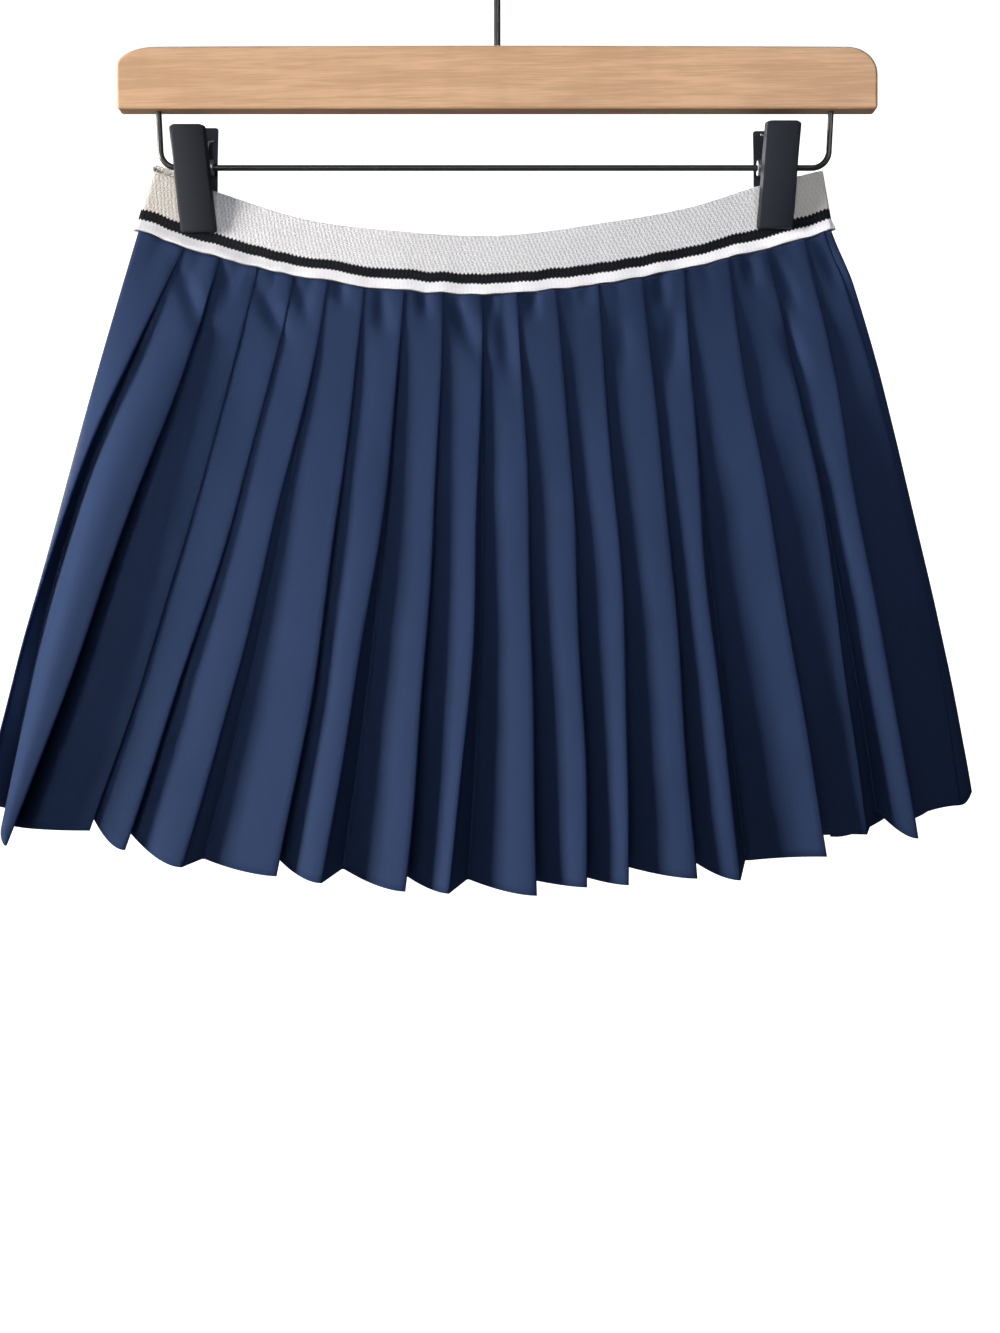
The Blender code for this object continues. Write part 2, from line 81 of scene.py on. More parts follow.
BAND_RIPPLE = 0.35        # how far the band's lower part swells between the gathers
BAND_WAVER = 1.1          # how unevenly the gathers pull on the band's lower edge
BAND_COLUMNS = 260        # along each side of the loop
BAND_ROWS = 22
QUARTER_TURN = (0, 22, 45, 67)        # degrees, round a loop's flat end

# ---- skirt ----
CLOTH = 0.5
WAIST_PLEAT = 3.0
WAIST_TUCK = 2.0
HEM_PLEAT = 17.0
SEAM_DROP = 0.4           # the skirt's top edge lies this far under the band
BAND_PRESS = 0.4          # share of the pleats' depth left where the band presses them
OUTLINE_DEPTH = (8.0, 27.0, 43.0)   # half depth of the outline: waist, middle, hem
WAIST_SQUARENESS = 4.0
HEM_SQUARENESS = (5.0, 2.6)   # left and right of the hook
FLARE_END = 0.4           # level by which the skirt has left the band's own outline
FOLD_LIE = 0.8            # how soon down the skirt a fold leans to where it lies at the hem
FACE_DROP = 1.7           # how soon the hem drops from a tuck towards its fold
SIDE_SWELL = 2.4          # how far the right side swells out under the band
SIDE_SWELL_X = (150.0, 170.0)         # where the swell starts, and where it is full
SIDE_SEAM = (2.6, 5.6)    # how far a panel reaches forward at its side seams: waist, hem
LEAST_TUCK = (2.3, 3.5)   # a tuck stays this far from the middle plane: waist, hem
HEM_CORNER = 2.2          # how round the hem turns up to the right side seam
FOLD_RADIUS = 0.5
TUCK_RADIUS = 0.9
SEAM_DEPTHS = (0.15, 1.4)             # where a panel turns in to its side seam
PRESS_END = 0.16          # level by which the pleats stand free of the band's press
PLEAT_GROWTH = 1.2        # how late down the skirt the pleats deepen
WAIST_FULLNESS = 1.1      # of every pleat's face at the waist
WANDER = (
    # how a fold wanders sideways: reach, waves down the skirt, shift from pleat to pleat
    (1.0, 5.0, 2.1),
    (0.6, 13.0, 4.7),
)
CLOTH_LUMPS = (
    # height, how fast they change across and down, what sets the two panels apart
    (0.9, 0.018, 2.6, 3.0),
    (0.5, 0.05, 9.0, 9.0),
)
FACE_COLUMNS = 12
ROWS = 72
ROW_CROWDING = 1.15       # how much closer together the rows lie under the band
SKIRT_LENGTH = 296.0

FRONT_SIDES = (
    # waist x, middle x, hem x, hem z
    (-178.5, -218, -252, -455),
    (166.5, 206.8, 236, -452.5),
)
FRONT_FOLDS = (
    # fold: waist x, middle x, hem x, hem z; tuck that starts its face: hem x, hem z;
    # how full the face is: under 1 it sinks, over 1 it swells;
    # how far the fold lies back at the hem
    (-156, -214, -249, -457, -251, -456, 1.6, -3),
    (-138, -183, -235, -476, -241, -460, 4.0, -9),
    (-119, -154, -198, -470, -238, -469, 3.4, 11),
    (-101, -136, -180, -479, -198, -464, 1.6, 8),
    (-84, -113, -152, -487, -179, -472, 1.4, 6),
    (-66, -82, -106, -491, -143, -484, 1.1, 3),
    (-46, -61, -84, -494, -107, -484, 1.6, 0),
    (-27, -32, -44, -498, -75, -489, 1.2, 0),
    (-7, -11, -23, -499, -45, -492, 1.1, 0),
    (10, 16, 19, -500, -14, -494, 1.35, 0),
    (29, 40, 43, -496, 16, -494, 1.3, 0),
    (50, 60, 63, -495, 40, -492, 1.2, 0),
    (72, 85, 96, -492, 60, -487, 1.3, 0),
    (93, 103, 117, -493, 92, -483, 1.5, 0),
    (115, 136, 159, -482, 122, -485, 0.95, 0),
    (135, 161, 180, -472, 155, -473, 0.7, 5),
    (153, 180, 205, -474, 187, -462, 1.6, 0),
    (163, 203, 229, -459, 201, -466, 0.6, 5),
)
FRONT_CREASES = (
    # waist x, level where it ends, width, depth, drift in x by its end
    (-166, 0.1, 3, 0.9, -4),
    (-147, 0.13, 3.5, 0.8, -5),
    (-128, 0.09, 2.6, 1.1, -4),
    (-110, 0.07, 2.2, 0.9, -2),
    (-92, 0.12, 2.8, 1.2, -4),
    (-77, 0.06, 2, 0.8, -1),
    (-57, 0.11, 2.6, 1.3, -2),
    (-37, 0.08, 2.4, 1.2, 2),
    (-19, 0.12, 3.2, 1.4, 1),
    (-2, 0.07, 2, 0.9, 1),
    (3, 0.13, 2.6, 1.3, -1),
    (18, 0.08, 2.4, 1.2, 1),
    (36, 0.1, 2.8, 1.2, 1),
    (59, 0.07, 2.4, 0.9, 3),
    (81, 0.11, 2.8, 1, 3),
    (103, 0.08, 2.4, 0.8, 3),
    (124, 0.12, 3, 1, 5),
    (144, 0.09, 2.6, 0.9, 4),
    (158, 0.13, 2.8, 0.9, 6),
)

FRONT_DIPS = (
    # soft hollows between the gathers: x, z, half width, half height, depth, drift per mm down
    (-152, -208, 4.5, 15, 2.6, 0.4),
    (-136, -196, 3.5, 9, 1.4, 0.2),
    (-112, -214, 4.5, 13, 2.6, 0.5),
    (-97, -207, 3.5, 10, 1.6, 0.3),
    (-78, -203, 4, 7, 1.9, 0.3),
    (-56, -216, 4.5, 9, 2, 0.1),
    (-36, -209, 3.5, 7, 1.8, 0.2),
    (-17, -220, 5, 15, 2.7, 0.5),
    (-4, -209, 3.5, 6, 2, 0.00),
    (5, -232, 5, 16, 2.2, 0.1),
    (17, -209, 3.5, 7, 1.9, 0.00),
    (44, -205, 4, 7, 1.5, -0.2),
    (62, -228, 4.5, 12, 1.6, 0.1),
    (81, -204, 3.5, 8, 1.8, 0.1),
    (87, -228, 5, 14, 2.2, -0.1),
    (126, -193, 4, 7, 1.8, 0.1),
    (144, -199, 4.5, 13, 2.2, 0.4),
    (147, -233, 5, 14, 2.3, 0.3),
    (165, -190, 3.5, 9, 1.6, 0.2),
)

# The back panel is written as seen from behind, so its x runs the other way.
BACK_SIDES = (
    (-166.5, -206.8, -236, -452.5),
    (178.5, 218, 252, -455),
)
BACK_FOLDS = (
    # the same columns as the front
    (-148, -188, -222, -461, -236, -455, 1.3, 0),
    (-129, -166, -204, -470, -219, -462, 0.8, 0),
    (-110, -138, -172, -478, -200, -465, 0.7, 3),
    (-91, -118, -146, -484, -168, -474, 1.1, 6),
    (-72, -90, -113, -489, -142, -480, 1.2, 4),
    (-53, -66, -80, -493, -110, -484, 0.9, 0),
    (-34, -45, -58, -496, -77, -488, 0.7, -2),
    (-15, -18, -22, -499, -50, -490, 1.2, 0),
    (4, 3, 2, -500, -23, -493, 1.3, 3),
    (23, 28, 36, -499, 0, -494, 1.0, 5),
    (42, 52, 60, -497, 34, -491, 0.8, 2),
    (61, 73, 88, -494, 62, -488, 1.2, 0),
    (80, 98, 112, -491, 85, -485, 1.4, 0),
    (99, 121, 147, -487, 116, -480, 0.9, 4),
    (118, 146, 172, -481, 144, -475, 1.1, 7),
    (136, 168, 203, -475, 175, -468, 0.8, 3),
    (153, 190, 224, -467, 201, -462, 1.3, 0),
    (168, 208, 244, -459, 222, -456, 1.1, -3),
)
BACK_CREASES = (
    (-158, 0.12, 2.8, 0.9, -5),
    (-138, 0.08, 2.4, 0.8, -4),
    (-119, 0.11, 3, 1, -4),
    (-100, 0.07, 2.2, 1.1, -2),
    (-80, 0.1, 2.6, 1, -2),
    (-63, 0.13, 2.8, 1.3, -3),
    (-43, 0.08, 2.2, 1, 1),
    (-25, 0.12, 3, 1.4, 1),
    (-6, 0.07, 2.2, 1, -1),
    (13, 0.11, 2.8, 1.2, 1),
    (32, 0.08, 2.4, 1.2, 2),
    (52, 0.12, 2.8, 1.1, 1),
    (70, 0.07, 2.2, 0.9, 2),
    (90, 0.1, 2.8, 1, 3),
    (108, 0.13, 3, 0.9, 4),
    (128, 0.08, 2.4, 0.8, 4),
    (160, 0.11, 2.8, 0.8, 5),
)

BACK_DIPS = (
    (-147, -205, 4.5, 14, 1.6, -0.4),
    (-118, -212, 4.5, 12, 1.5, -0.3),
    (-84, -206, 4, 8, 1.4, 0.2),
    (-60, -222, 5, 14, 1.6, 0.1),
    (-32, -210, 4, 8, 1.4, 0.2),
    (-5, -224, 5, 15, 1.8, 0.2),
    (22, -211, 4, 8, 1.4, 0.1),
    (48, -226, 4.5, 13, 1.5, -0.1),
    (76, -208, 4, 9, 1.3, 0.2),
    (104, -218, 4.5, 12, 1.5, 0.3),
    (134, -202, 4, 9, 1.4, 0.3),
    (158, -212, 4.5, 14, 1.5, 0.4),
)

# ---- built-in shorts ----
SHORTS_BEHIND_BAND = 3.1
SHORTS_HALF_DEPTH = 7.5
SHORTS_LEAST_DEPTH = 0.75
SHORTS_SEAM = 0.5
LEG_HEM_Z = -458.0
LEG_ROWS = (
    # share of the way down to the leg hem, outer x, inner x, openness at the centre
    (0.0, 166.0, 0.3, 1.0),
    (0.14, 167.0, 0.3, 1.0),
    (0.4, 169.0, 0.3, 1.0),
    (0.62, 171.0, 0.3, 1.0),
    (0.71, 171.0, 0.3, 0.8),
    (0.77, 171.0, 1.0, 0.0),
    (0.88, 170.0, 7.0, 0.0),
    (1.0, 168.0, 12.0, 0.0),
)
SHORTS_SHIFT = -6.0
LEG_COLUMNS = 34
LEG_LEVELS = 64
LEG_LENGTH = 268.0

# ---- hanger ----
BAR_CROWN = 0.5           # how far the bar's top edge rises towards its middle
BAR_LEFT_CORNER = (20.0, 10.0)        # how far each top corner's round reaches: x, z
BAR_RIGHT_CORNER = (15.5, 13.5)
BAR_FOOT = 2.0            # radius of the two lower corners
BAR_EASING = 1.6          # radius of the edges along the bar
HOOK_WIRE = 3.5
HOOK_INNER_RADIUS = 20.0
HOOK_NECK_RADIUS = 12.0
HOOK_MOUTH_ANGLE = 205.0
HOOK_TIP = 4              # degrees and points over which the hook's end is rounded off
RAIL_WIRE = 3.0
RAIL_Z = -141.0
RAIL_BEND = 8.5
RAIL_LEAN = 1.0           # how far each leg leans in on its way down
RAIL_LEFT_X = -169.2
RAIL_RIGHT_X = 166.9
SPRINGS = (
    # name, centre x on the rail
    ("clip_left_spring", -150.7),
    ("clip_right_spring", 139.2),
)
SPRING_WIRE = 1.0
SPRING_TURNS = 7
SPRING_RADIUS = 3.1
SPRING_HALF = 5.2         # half of the coil's length
SPRING_ARM = (
    # from the tip to the coil: along the rail and out, for the back arm, and up
    (3.0, 6.3, 15.0),
    (0.6, 6.0, 14.6),
    (0.0, 5.2, 11.0),
    (0.0, 4.2, 6.0),
    (0.0, 3.4, 2.5),
)
COLLAR_REACH = 7.9        # from the middle of a spring to the middle of each pivot
COLLAR = ((-1.3, 1.85), (-1.3, 3.6), (-0.9, 4.1), (0.9, 4.1), (1.3, 3.6), (1.3, 1.85))
JAW_FRONT = 16.2          # width of a jaw's flat front
JAW_DRAFT = 1.0           # how much wider each side is at the back
JAW_CORNER = 1.5
JAW_DEPTHS = (
    # above the rail, inner face, outer face, both forward of the rail
    (-32.0, 2.6, 5.6),
    (-25.0, 2.6, 6.8),
    (-24.0, 3.6, 7.0),
    (-21.0, 4.5, 7.5),
    (-14.0, 4.6, 8.6),
    (4.0, 4.8, 9.4),
    (20.5, 7.4, 9.6),
)
JAWS = (
    # name, side of the rail (-1 front, 1 back), centre x at the rail, lift, lean in degrees
    ("clip_left_front_jaw", -1, -151.8, -1.0, 5.7),
    ("clip_left_back_jaw", 1, -149.3, 1.5, 0.0),
    ("clip_right_front_jaw", -1, 140.7, 0.8, -4.1),
    ("clip_right_back_jaw", 1, 137.9, 0.0, 0.0),
)

# ---- colours and the band's knit, in metres ----
NAVY = (0.0195, 0.0352, 0.091)
SHORTS_NAVY = (0.018, 0.030, 0.074)
THREAD_GRAIN = (900.0, 60.0, 1.0)     # how finely the threads vary: across, along, through
BAND_WHITE = (0.89, 0.878, 0.945)
# painted shade: the warm grey that the band's upper part takes at its ends, by the clips
BAND_END_SHADE = (0.74, 0.67, 0.59)
BAND_PAINTED_LIGHT = 0.65         # painted light: how much brighter the band's colour grows to the right, for each metre
BAND_END_SHADE_FROM = (0.126, 0.158)       # from the band's middle: where the painted warm shade by the clips starts, and where it is full
# painted shade: the grey that the band's white turns to in the pits of its braid and between its
# rungs
BAND_PIT_SHADE = (0.54, 0.535, 0.56)
BAND_BLACK = (0.008, 0.009, 0.013)
RIB_PITCH = 0.0021
RIB_SLANT = 0.42
ROW_PITCH = 0.00135
ROW_SLANT = 0.35
LADDER_PITCH = 0.0020
STRIPE_LOW = (0.0048, 0.0054)         # heights on the band over which the stripe starts
STRIPE_TOP = (0.0099, 0.0105)         # and ends
BRAID_FROM = (0.0092, 0.0104)         # heights over which the edge turns into the braid
WOOD_PALE = (0.735, 0.46, 0.285)
WOOD_DARK = (0.47, 0.255, 0.14)
WIRE_BLACK = (0.014, 0.016, 0.018)
CLIP_BLACK = (0.013, 0.016, 0.026)
STEEL_GREY = (0.42, 0.42, 0.44)

# ---- studio, in metres and watts ----
SURROUND_RADIUS = 5.0
FLOOR_RADIUS = 2.6
FLOOR_Z = -1.6
WORLD_COLOUR = (0.8, 0.9, 1.0, 1.0)
WORLD_STRENGTH = 0.085
MIDDLE = (0.0, 0.0, -0.33)
WHITE = (1.0, 1.0, 1.0)
WARM = (1.0, 0.97, 0.88)
WARMER = (1.0, 0.96, 0.88)
COOL = (0.95, 0.98, 1.0)
LIGHTS = (
    # name, place, target, width and height, watts, colour, spread in degrees
    ("key", (-3.0, -0.92, 0.0), MIDDLE, 0.9, 200.0, WARM, 180),
    ("front_fill", (-0.3, -2.0, 0.25), MIDDLE, 1.2, 7.2, COOL, 180),
    ("band_light", (0.75, -1.4, 0.3), (0.1, 0.0, -0.165), 0.3, 0.12, WHITE, 24),
    ("left_fill", (-0.6, -1.2, -0.2), (-0.26, 0.0, -0.32), 0.3, 0.13, WARMER, 18),
    ("from_below", (0.0, 0.0, -1.5), MIDDLE, 1.6, 3.0, WHITE, 180),
    ("back_left", (-1.4, 2.2, 0.35), MIDDLE, 1.2, 50.0, WHITE, 180),
)


# ---- small helpers ----

def mix(a, b, t):
    return a + (b - a) * t


def ease(t):
    t = min(max(t, 0.0), 1.0)
    return t * t * (3.0 - 2.0 * t)


def smooth_curve(xs, ys, x):
    """Value at x of a smooth curve through the points (xs, ys)."""
    slopes = np.gradient(ys, xs)
    i = int(np.clip(np.searchsorted(xs, x) - 1, 0, len(xs) - 2))
    span = xs[i + 1] - xs[i]
    t = (x - xs[i]) / span
    start = (2 * t**3 - 3 * t**2 + 1) * ys[i] + (t**3 - 2 * t**2 + t) * span * slopes[i]
    end = (3 * t**2 - 2 * t**3) * ys[i + 1] + (t**3 - t**2) * span * slopes[i + 1]
    return start + end


def along(values, level):
    """The smooth line through a fold's waist, middle and hem places."""
    waist, middle, hem = values
    return (waist * (1 - level) * (1 - 2 * level)
            + middle * 4 * level * (1 - level)
            + hem * level * (2 * level - 1))


def arc(centre, radii, start, end, steps):
    """Points on an elliptic arc, angles in degrees."""
    angles = [math.radians(mix(start, end, i / steps)) for i in range(steps + 1)]
    return [(centre[0] + radii[0] * math.cos(a), centre[1] + radii[1] * math.sin(a))
            for a in angles]


def add_to_scene(name, data):
    thing = bpy.data.objects.new(name, data)
    bpy.context.collection.objects.link(thing)
    return thing


def add_piece(name, data, finish, nodes):
    """Put a piece in the scene, on its body, in place of its CAD nodes."""
    data.materials.append(finish)
    piece = add_to_scene(name, data)
    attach(piece, BODY)
    if nodes:
        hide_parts(*nodes)
    return piece


def mesh_from_bmesh(name, shape, crisp=None):
    """A smooth mesh; edges that turn by more than crisp degrees stay sharp."""
    bmesh.ops.recalc_face_normals(shape, faces=shape.faces)
    data = bpy.data.meshes.new(name)
    shape.to_mesh(data)
    shape.free()
    data.shade_smooth()
    if crisp is not None:
        data.set_sharp_from_angle(angle=math.radians(crisp))
    return data


def round_edges(piece, radius, segments):
    edge = piece.modifiers.new("round edges", "BEVEL")
    edge.width = radius * MM
    edge.segments = segments
    edge.limit_method = "ANGLE"
    edge.angle_limit = math.radians(60)
    return edge


def grid_mesh(name, rows, places, closed=False):
    """A sheet through rows of points, with its flat places kept as a UV map in metres."""
    count, columns = len(rows), len(rows[0])
    vertices = [tuple(c * MM for c in point) for row in rows for point in row]
    across = columns if closed else columns - 1
    faces, corners = [], []
    for r in range(count - 1):
        for c in range(across):
            n = (c + 1) % columns
            faces.append((r * columns + c, (r + 1) * columns + c,
                          (r + 1) * columns + n, r * columns + n))
            corners += [(r, c), (r + 1, c), (r + 1, c + 1), (r, c + 1)]
    data = bpy.data.meshes.new(name)
    data.from_pydata(vertices, [], faces)
    layer = data.uv_layers.new(name="flat")
    for spot, (r, c) in zip(layer.data, corners):
        u, v = places(r, c)
        spot.uv = (u * MM, v * MM)
    data.shade_smooth()
    return data


# ---- node helpers ----

def add_node(tree, kind, inputs=(), **settings):
    node = tree.nodes.new(kind)
    for key, value in settings.items():
        setattr(node, key, value)
    for key, value in dict(inputs).items():
        if isinstance(value, bpy.types.NodeSocket):
            tree.links.new(value, node.inputs[key])
        else:
            node.inputs[key].default_value = value
    return node


def calc(tree, operation, *values, clamp=False):
    node = add_node(tree, "ShaderNodeMath", dict(enumerate(values)), operation=operation)
    node.use_clamp = clamp
    return node.outputs[0]


def total(tree, first, second, clamp=False):
    """The sum of two values."""
    return calc(tree, "ADD", first, second, clamp=clamp)


def times(tree, first, second, clamp=False):
    """One value multiplied by another."""
    return calc(tree, "MULTIPLY", first, second, clamp=clamp)


def object_place(tree):
    """The place in the object's own space, in metres."""
    return add_node(tree, "ShaderNodeTexCoord").outputs["Object"]


def stretched(tree, place, *shares):
    """A place multiplied along each axis."""
    return add_node(tree, "ShaderNodeVectorMath", {0: place, 1: shares},
                    operation="MULTIPLY").outputs[0]


def specks(tree, place, scale, detail, **more):
    """Cloudy noise, from 0 to 1."""
    inputs = {"Vector": place, "Scale": scale, "Detail": detail, **more}
    return add_node(tree, "ShaderNodeTexNoise", inputs).outputs["Fac"]


def wave(tree, value, period):
    """A sine of the value, from -1 to 1, that repeats each period."""
    return calc(tree, "SINE", times(tree, value, math.tau / period))


def soft_step(tree, value, low, high):
    """0 below low, 1 above high, and a soft step between."""
    node = add_node(tree, "ShaderNodeMapRange", {"Value": value, "From Min": low,
                                                 "From Max": high},
                    interpolation_type="SMOOTHSTEP")
    return node.outputs["Result"]


def blend(tree, factor, first, second):
    node = add_node(tree, "ShaderNodeMix", {0: factor, 6: first, 7: second}, data_type="RGBA")
    return node.outputs[2]


def new_material(name, values):
    """A material and its Principled shader, with constant values on its own sockets."""
    made = bpy.data.materials.new(name)
    made.use_nodes = True
    tree = made.node_tree
    shader = tree.nodes["Principled BSDF"]
    for key, value in values.items():
        shader.inputs[key].default_value = value
    return made, tree, shader


def paint(tree, shader, colour, *shades):
    """Give a shader its base colour: a colour darkened by each shade in turn."""
    tree.links.new(tinted(tree, colour, *shades), shader.inputs["Base Color"])


def bump(tree, shader, height, distance, strength):
    node = add_node(tree, "ShaderNodeBump", {"Height": height, "Distance": distance,
                                             "Strength": strength})
    tree.links.new(node.outputs["Normal"], shader.inputs["Normal"])


def new_group(name, inputs, outputs):
    """An empty node group with named sockets; inputs are (name, kind, value)."""
    group = bpy.data.node_groups.new(name, "ShaderNodeTree")
    for label, kind, value in inputs:
        socket = group.interface.new_socket(label, in_out="INPUT", socket_type=kind)
        if value is not None:
            socket.default_value = value
    for label, kind in outputs:
        group.interface.new_socket(label, in_out="OUTPUT", socket_type=kind)
    start = group.nodes.new("NodeGroupInput")
    end = group.nodes.new("NodeGroupOutput")
    return group, start.outputs, end.inputs


def place_group(tree, group, inputs):
    return add_node(tree, "ShaderNodeGroup", inputs, node_tree=group).outputs


# ---- effects shared by materials ----

def build_weave_group():
    """Plain weave of two sets of threads, from flat places in metres."""
    group, given, result = new_group(
        "thread_weave",
        (("Place", "NodeSocketVector", None), ("Pitch", "NodeSocketFloat", 0.0005),
         ("Slub", "NodeSocketFloat", 0.3)),
        (("Height", "NodeSocketFloat"), ("Shade", "NodeSocketFloat")))
    split = add_node(group, "ShaderNodeSeparateXYZ", {0: given["Place"]})
    turn = calc(group, "DIVIDE", math.pi, given["Pitch"])
    warp = calc(group, "SINE", times(group, split.outputs["X"], turn))
    weft = calc(group, "SINE", times(group, split.outputs["Y"], turn))
    over = times(group, warp, weft)
    threads = specks(group, stretched(group, given["Place"], *THREAD_GRAIN), 1.0, 2.0)
    slub = times(group, calc(group, "SUBTRACT", threads, 0.5), given["Slub"])
    height = total(group, calc(group, "MULTIPLY_ADD", over, 0.5, 0.5), slub)
    group.links.new(height, result["Height"])
    group.links.new(calc(group, "MULTIPLY_ADD", slub, 0.6, 1.0), result["Shade"])
    return group


def build_mottle_group():
    """Slow, uneven change of tone over a surface, around 1."""
    group, given, result = new_group(
        "slow_mottle",
        (("Scale", "NodeSocketFloat", 20.0), ("Amount", "NodeSocketFloat", 0.1)),
        (("Shade", "NodeSocketFloat"),))
    cloud = specks(group, object_place(group), given["Scale"], 3.0)
    swing = times(group, calc(group, "SUBTRACT", cloud, 0.5), times(group, given["Amount"], 2.0))
    group.links.new(total(group, swing, 1.0), result["Shade"])
    return group


def tinted(tree, colour, *shades):
    """A colour multiplied by each shade in turn."""
    result = add_node(tree, "ShaderNodeRGB")
    result.outputs[0].default_value = (*colour, 1.0)
    result = result.outputs[0]
    for shade in shades:
        result = add_node(tree, "ShaderNodeVectorMath", {0: result, "Scale": shade},
                          operation="SCALE").outputs[0]
    return result


# ---- materials ----

def flat_place(tree):
    """The place on the cloth as it is cut, in metres."""
    return add_node(tree, "ShaderNodeUVMap", uv_map="flat").outputs["UV"]


def navy_cloth(weave, mottle):
    made, tree, shader = new_material("navy_cloth", {
        "Roughness": 0.75, "Specular IOR Level": 0.06})
    threads = place_group(tree, weave, {"Place": flat_place(tree), "Pitch": 0.00042,
                                        "Slub": 0.35})
    tone = place_group(tree, mottle, {"Scale": 14.0, "Amount": 0.08})
    paint(tree, shader, NAVY, threads["Shade"], tone["Shade"])
    bump(tree, shader, threads["Height"], 0.00008, 0.5)
    return made


def shorts_knit(weave, mottle):
    made, tree, shader = new_material("shorts_knit", {
        "Roughness": 0.6, "Specular IOR Level": 0.15})
    loops = place_group(tree, weave, {"Place": flat_place(tree), "Pitch": 0.0007,
                                      "Slub": 0.15})
    tone = place_group(tree, mottle, {"Scale": 18.0, "Amount": 0.06})
    paint(tree, shader, SHORTS_NAVY, loops["Shade"], tone["Shade"])
    bump(tree, shader, loops["Height"], 0.00012, 0.6)
    return made


def band_elastic(mottle):
    """Braided elastic: slanting ribs above, a dark laddered stripe, a pale ribbed edge."""
    made, tree, shader = new_material("band_elastic", {
        "Roughness": 0.9, "Specular IOR Level": 0.15})
    place = flat_place(tree)
    split = add_node(tree, "ShaderNodeSeparateXYZ", {0: place})
    u, v = split.outputs["X"], split.outputs["Y"]
    pull = specks(tree, place, 420.0, 2.0)
    shift = times(tree, calc(tree, "SUBTRACT", pull, 0.5), 0.0022)
    slant = times(tree, v, RIB_SLANT)
    climb = calc(tree, "SUBTRACT", v, times(tree, u, ROW_SLANT))
    ribs = wave(tree, total(tree, total(tree, u, slant), shift), RIB_PITCH)
    rows = wave(tree, total(tree, climb, shift), ROW_PITCH)
    cross = wave(tree, calc(tree, "SUBTRACT", u, slant), RIB_PITCH)
    fuzz = specks(tree, place, 1500.0, 2.0)
    knots = times(tree, times(tree, ribs, rows), 0.28)
    braid = total(tree, times(tree, ribs, 0.20), total(tree, times(tree, cross, 0.08), knots))
    braid = total(tree, braid, calc(tree, "MULTIPLY_ADD", fuzz, 0.9, 0.05), clamp=True)
    rungs = wave(tree, u, LADDER_PITCH)
    ladder = calc(tree, "MULTIPLY_ADD", rungs, 0.5, 0.5)

    toothed = total(tree, v, times(tree, rungs, 0.00035))
    black_top = calc(tree, "SUBTRACT", 1.0, soft_step(tree, toothed, *STRIPE_TOP))
    black_low = soft_step(tree, toothed, *STRIPE_LOW)
    black = times(tree, black_top, black_low)
    upper = soft_step(tree, v, *BRAID_FROM)

    tone = place_group(tree, mottle, {"Scale": 45.0, "Amount": 0.05})
    across = add_node(tree, "ShaderNodeSeparateXYZ", {0: object_place(tree)}).outputs["X"]
    from_middle = calc(tree, "ABSOLUTE", total(tree, across, 0.007))
    # painted shade: the band's upper part turns warm grey at its ends, by the clips
    end_shade = soft_step(tree, from_middle, *BAND_END_SHADE_FROM)
    # painted light: the band's colour grows brighter towards its right end, where the lamps leave
    # it dimmer
    painted_light = calc(tree, "MULTIPLY_ADD", across, BAND_PAINTED_LIGHT, 1.0)
    white = tinted(tree, BAND_WHITE, tone["Shade"], painted_light)
    upper_white = blend(tree, end_shade, white, (*BAND_END_SHADE, 1.0))
    # painted shade: the white darkens to grey in the braid's pits and between the edge's rungs
    pits = calc(tree, "SUBTRACT", 1.0, braid)
    rib_shade = times(tree, times(tree, pits, pits), 1.7, clamp=True)
    upper_colour = blend(tree, rib_shade, upper_white, tinted(tree, BAND_PIT_SHADE, painted_light))
    edge_shade = times(tree, calc(tree, "SUBTRACT", 1.0, ladder), 0.12)
    edge_colour = blend(tree, edge_shade, white, (*BAND_PIT_SHADE, 1.0))
    pale = blend(tree, upper, edge_colour, upper_colour)
    dark_ribs = calc(tree, "MULTIPLY_ADD", times(tree, ladder, braid), 1.4, 0.6)
    colour = blend(tree, black, pale, tinted(tree, BAND_BLACK, dark_ribs))
    tree.links.new(colour, shader.inputs["Base Color"])
    height = blend(tree, upper, times(tree, ladder, 0.25), braid)
    bump(tree, shader, height, 0.00025, 0.6)
    return made


def bar_wood(mottle):
    """Pale wood: long fine grain that drifts, and a faint cross figure."""
    made, tree, shader = new_material("bar_wood", {"Specular IOR Level": 0.4})
    place = object_place(tree)
    tilt = add_node(tree, "ShaderNodeMapping",
                    {"Vector": place, "Rotation": (0.0, math.radians(1.2), 0.0)}).outputs[0]

    def streaks(scale, squeeze, detail):
        return specks(tree, stretched(tree, tilt, 1.0, squeeze, squeeze), scale, detail,
                      Roughness=0.6, Distortion=0.15)

    rings = streaks(14.0, 16.0, 3.0)
    fine = streaks(45.0, 34.0, 4.0)
    figure = specks(tree, stretched(tree, place, 1.0, 1.0, 0.35), 95.0, 1.0)
    grain = total(tree, times(tree, rings, 0.55), times(tree, fine, 0.45))
    lines = soft_step(tree, grain, 0.40, 0.60)
    tone = place_group(tree, mottle, {"Scale": 9.0, "Amount": 0.09})
    flame = calc(tree, "MULTIPLY_ADD", figure, 0.16, 0.92)
    pale = tinted(tree, WOOD_PALE, tone["Shade"], flame)
    colour = blend(tree, times(tree, calc(tree, "SUBTRACT", 1.0, lines), 0.5),
                   pale, (*WOOD_DARK, 1.0))
    tree.links.new(colour, shader.inputs["Base Color"])
    tree.links.new(calc(tree, "MULTIPLY_ADD", fine, 0.2, 0.38), shader.inputs["Roughness"])
    bump(tree, shader, grain, 0.0002, 0.25)
    return made


def black_wire(mottle):
    made, tree, shader = new_material("black_wire", {"Coat Weight": 0.25,
                                                     "Coat Roughness": 0.2})
    tone = place_group(tree, mottle, {"Scale": 160.0, "Amount": 0.3})
    paint(tree, shader, WIRE_BLACK, tone["Shade"])
    tree.links.new(times(tree, tone["Shade"], 0.32), shader.inputs["Roughness"])
    return made


